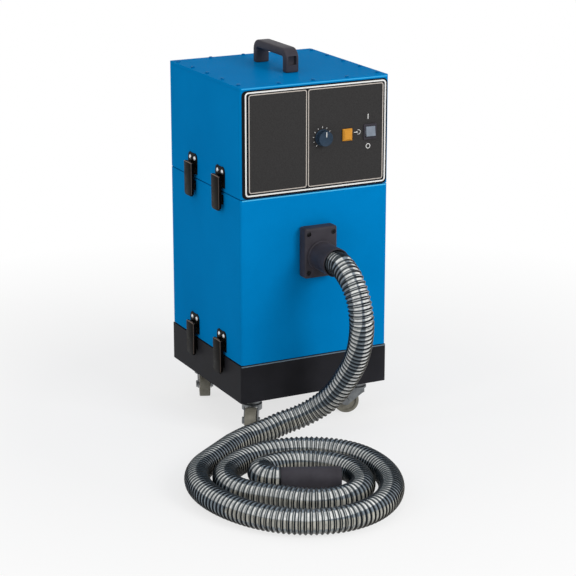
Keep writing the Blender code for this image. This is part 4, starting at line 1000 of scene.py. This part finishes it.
# Casters. Bright zinc plated pressings: a top plate bolted under the tray, a ball race and a fork that
# swivels. The moulded wheels are a warm grey with a hub boss.
zinc = Finish("bright_zinc_plate", Metallic=1.0)
zinc_cloud = zinc.noise(45.0, 5.0)
zinc.set(
    Base_Color=zinc.toned(zinc_cloud, "55585a", "8a8d8f"),
    Roughness=zinc.ranged(zinc_cloud, 0.3, 0.7, 0.24, 0.42),
)
wheel_tread = Finish("moulded_wheel_grey", Roughness=0.5, IOR=1.5)
wheel_cloud = wheel_tread.noise(70.0, 4.0)
wheel_tread.set(
    Base_Color=wheel_tread.toned(wheel_cloud, "6d6a5e", "88857a"),
    Roughness=wheel_tread.ranged(wheel_cloud, 0.3, 0.7, 0.42, 0.62),
)
casters = (
    ("front_left", -0.113, -0.076, 238.5),
    ("front_right", 0.113, -0.076, 153.0),
    ("rear_left", -0.106, 0.158, 247.5),
    ("rear_right", 0.106, 0.158, 215.0),
)
wheel_radius, wheel_width, trail = 0.025, 0.021, 0.020
rim_width, dish_width, dish_depth = 0.006, 0.0095, 0.003
for spot, x, y, heading in casters:
    for part in ("plate", "fork", "axle"):
        dressed(f"caster_{part}_{spot}", zinc)
    wheel = cylinder(wheel_radius, wheel_width, (0, 0, 0), 56, "Y")
    picked(wheel, lambda face: abs(face.normal.y) > 0.9)
    bpy.ops.mesh.inset(thickness=rim_width)
    closed_edit()
    for sign in (-1, 1):
        picked(wheel, lambda face: face.normal.y * sign > 0.9 and len(face.vertices) > 8)
        led_on(-sign * dish_depth, 0)
        bpy.ops.mesh.inset(thickness=dish_width)
        led_on(sign * dish_depth, 0)
        closed_edit()
    rounded(wheel, 0.0030, 3)
    carved(wheel, cylinder(0.0043, 0.03, (0, 0, 0), 24, "Y"))
    turn = math.radians(heading)
    axle = Vector((x + trail * math.cos(turn), y + trail * math.sin(turn), wheel_radius))
    wheel.data.transform(Matrix.Translation(axle) @ Matrix.Rotation(turn, 4, "Z"))
    settled(wheel, f"tread_wheel_{spot}", wheel_tread)
    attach(wheel, f"wheel_{spot}")
    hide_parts(f"wheel_{spot}")

plate_under, bolt_spread, bolt_height = 0.0672, 0.0235, 0.0030
bolt = cylinder(0.0050, bolt_height, (0, 0, 0), 6)
rounded(bolt, 0.0005, 2)
bolt_places = [
    Matrix.Translation((x + u * bolt_spread, y + v * bolt_spread, plate_under - bolt_height / 2))
    for _, x, y, _ in casters
    for u in (-1, 1)
    for v in (-1, 1)
]
bolts = settled(copied(bolt, bolt_places), "caster_bolts", zinc)
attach(bolts, "cabinet")

# Rear of the head. A punched steel grille, coated black, lets the cleaned air out through a foam mat,
# and the mains inlet sits below it.
dressed("exhaust_grille", black_coat)
dressed("power_inlet", moulded)

# Works inside. A pleated paper cartridge hangs under the steel deck on its tie rod, and the blower with its
# motor stands on the deck.
paper = Finish("filter_paper", Roughness=0.92)
paper_fibre = paper.noise(160.0, 5.0)
paper.set(Base_Color=paper.toned(paper_fibre, "cfc6b0", "e6dfcc"))
paper.grain(paper_fibre, 0.0003, 0.4)
dressed("filter_cartridge", paper)
galvanised = Finish("galvanised_sheet", Metallic=1.0)
spangle = galvanised.noise(60.0, 1.0)
galvanised.set(
    Base_Color=galvanised.toned(spangle, "9fa3a5", "c2c5c7", 0.4, 0.6),
    Roughness=galvanised.ranged(spangle, 0.4, 0.6, 0.38, 0.52),
)
for node in ("inlet_baffle", "motor_deck"):
    dressed(node, galvanised)
dressed("filter_tie_rod", zinc)
cast = Finish("cast_aluminium", Metallic=1.0, Roughness=0.45)
cast_grain = cast.noise(380.0, 4.0)
cast.set(Base_Color=cast.mixed(cast_grain, "9a9da0", "c4c6c8"))
cast.grain(cast_grain, 0.0003, 0.4)
for node in ("blower_casing", "motor_can", "impeller"):
    dressed(node, cast)

# Studio. A pale floor that keeps the machine's shadow and fades to white around it, soft boxes in front, at
# the left and above, and an even white surround.
fade_from, fade_to = 0.5, 1.3
floor_paint = Finish("studio_floor", Base_Color="f4f4f4", Roughness=0.9, Specular_IOR_Level=0.1)
lit = floor_paint.tree.nodes.new("ShaderNodeEmission")
lit.inputs["Color"].default_value = (1, 1, 1, 1)
lit.inputs["Strength"].default_value = 1.0
floor_blend = floor_paint.tree.nodes.new("ShaderNodeMixShader")
from_middle = floor_paint.node("ShaderNodeVectorMath", {"operation": "LENGTH"}, {0: floor_paint.place()})
faded = floor_paint.ranged(from_middle["Value"], fade_from, fade_to, 0.7, 1.0)
rays = floor_paint.node("ShaderNodeLightPath", {}, {})
seen = rays["Is Camera Ray"].larger(rays["Is Glossy Ray"]).larger(rays["Is Transmission Ray"])
floor_paint.feed(floor_blend.inputs[0], faded * seen)
floor_ends = floor_paint.tree.nodes["Material Output"].inputs
floor_paint.tree.links.new(floor_paint.shader.outputs[0], floor_blend.inputs[1])
floor_paint.tree.links.new(lit.outputs[0], floor_blend.inputs[2])
floor_paint.tree.links.new(floor_blend.outputs[0], floor_ends["Surface"])
deselect()
bpy.ops.mesh.primitive_circle_add(vertices=96, radius=8, fill_type="NGON", location=(0, 0, -0.0005))
floor = bpy.context.object
settled(floor, "studio_floor", floor_paint)

world = bpy.data.worlds.new("studio")
world.use_nodes = True
bpy.context.scene.world = world
surround = world.node_tree
sky = surround.nodes["Background"]
sky.inputs["Color"].default_value = (1, 1, 1, 1)
paths = surround.nodes.new("ShaderNodeLightPath")
seen_by = paths.outputs["Is Camera Ray"]
for ray_kind in ("Is Glossy Ray", "Is Transmission Ray"):
    either = surround.nodes.new("ShaderNodeMath")
    either.operation = "MAXIMUM"
    surround.links.new(seen_by, either.inputs[0])
    surround.links.new(paths.outputs[ray_kind], either.inputs[1])
    seen_by = either.outputs[0]
strength = surround.nodes.new("ShaderNodeMapRange")
strength.inputs["To Min"].default_value = 0.55
strength.inputs["To Max"].default_value = 1.0
surround.links.new(seen_by, strength.inputs["Value"])
surround.links.new(strength.outputs[0], sky.inputs["Strength"])


def soft_box(name, place, width, height, power):
    """A lamp with a large soft face, turned to the machine's middle."""
    data = bpy.data.lights.new(name, "AREA")
    data.shape = "RECTANGLE"
    data.size = width
    data.size_y = height
    data.energy = power
    light = bpy.data.objects.new(name, data)
    light.location = place
    light.visible_camera = False
    light.rotation_euler = (lamp_target - Vector(place)).to_track_quat("-Z", "Y").to_euler()
    bpy.context.scene.collection.objects.link(light)


lamp_target = Vector((0, 0, 0.3))
soft_box("key_box", (1.1, -3.0, 1.9), 1.4, 1.4, 48)
soft_box("side_box", (-3.0, -0.9, 1.5), 0.7, 1.4, 11)
soft_box("top_box", (-0.3, -0.6, 3.0), 0.9, 0.9, 1.5)
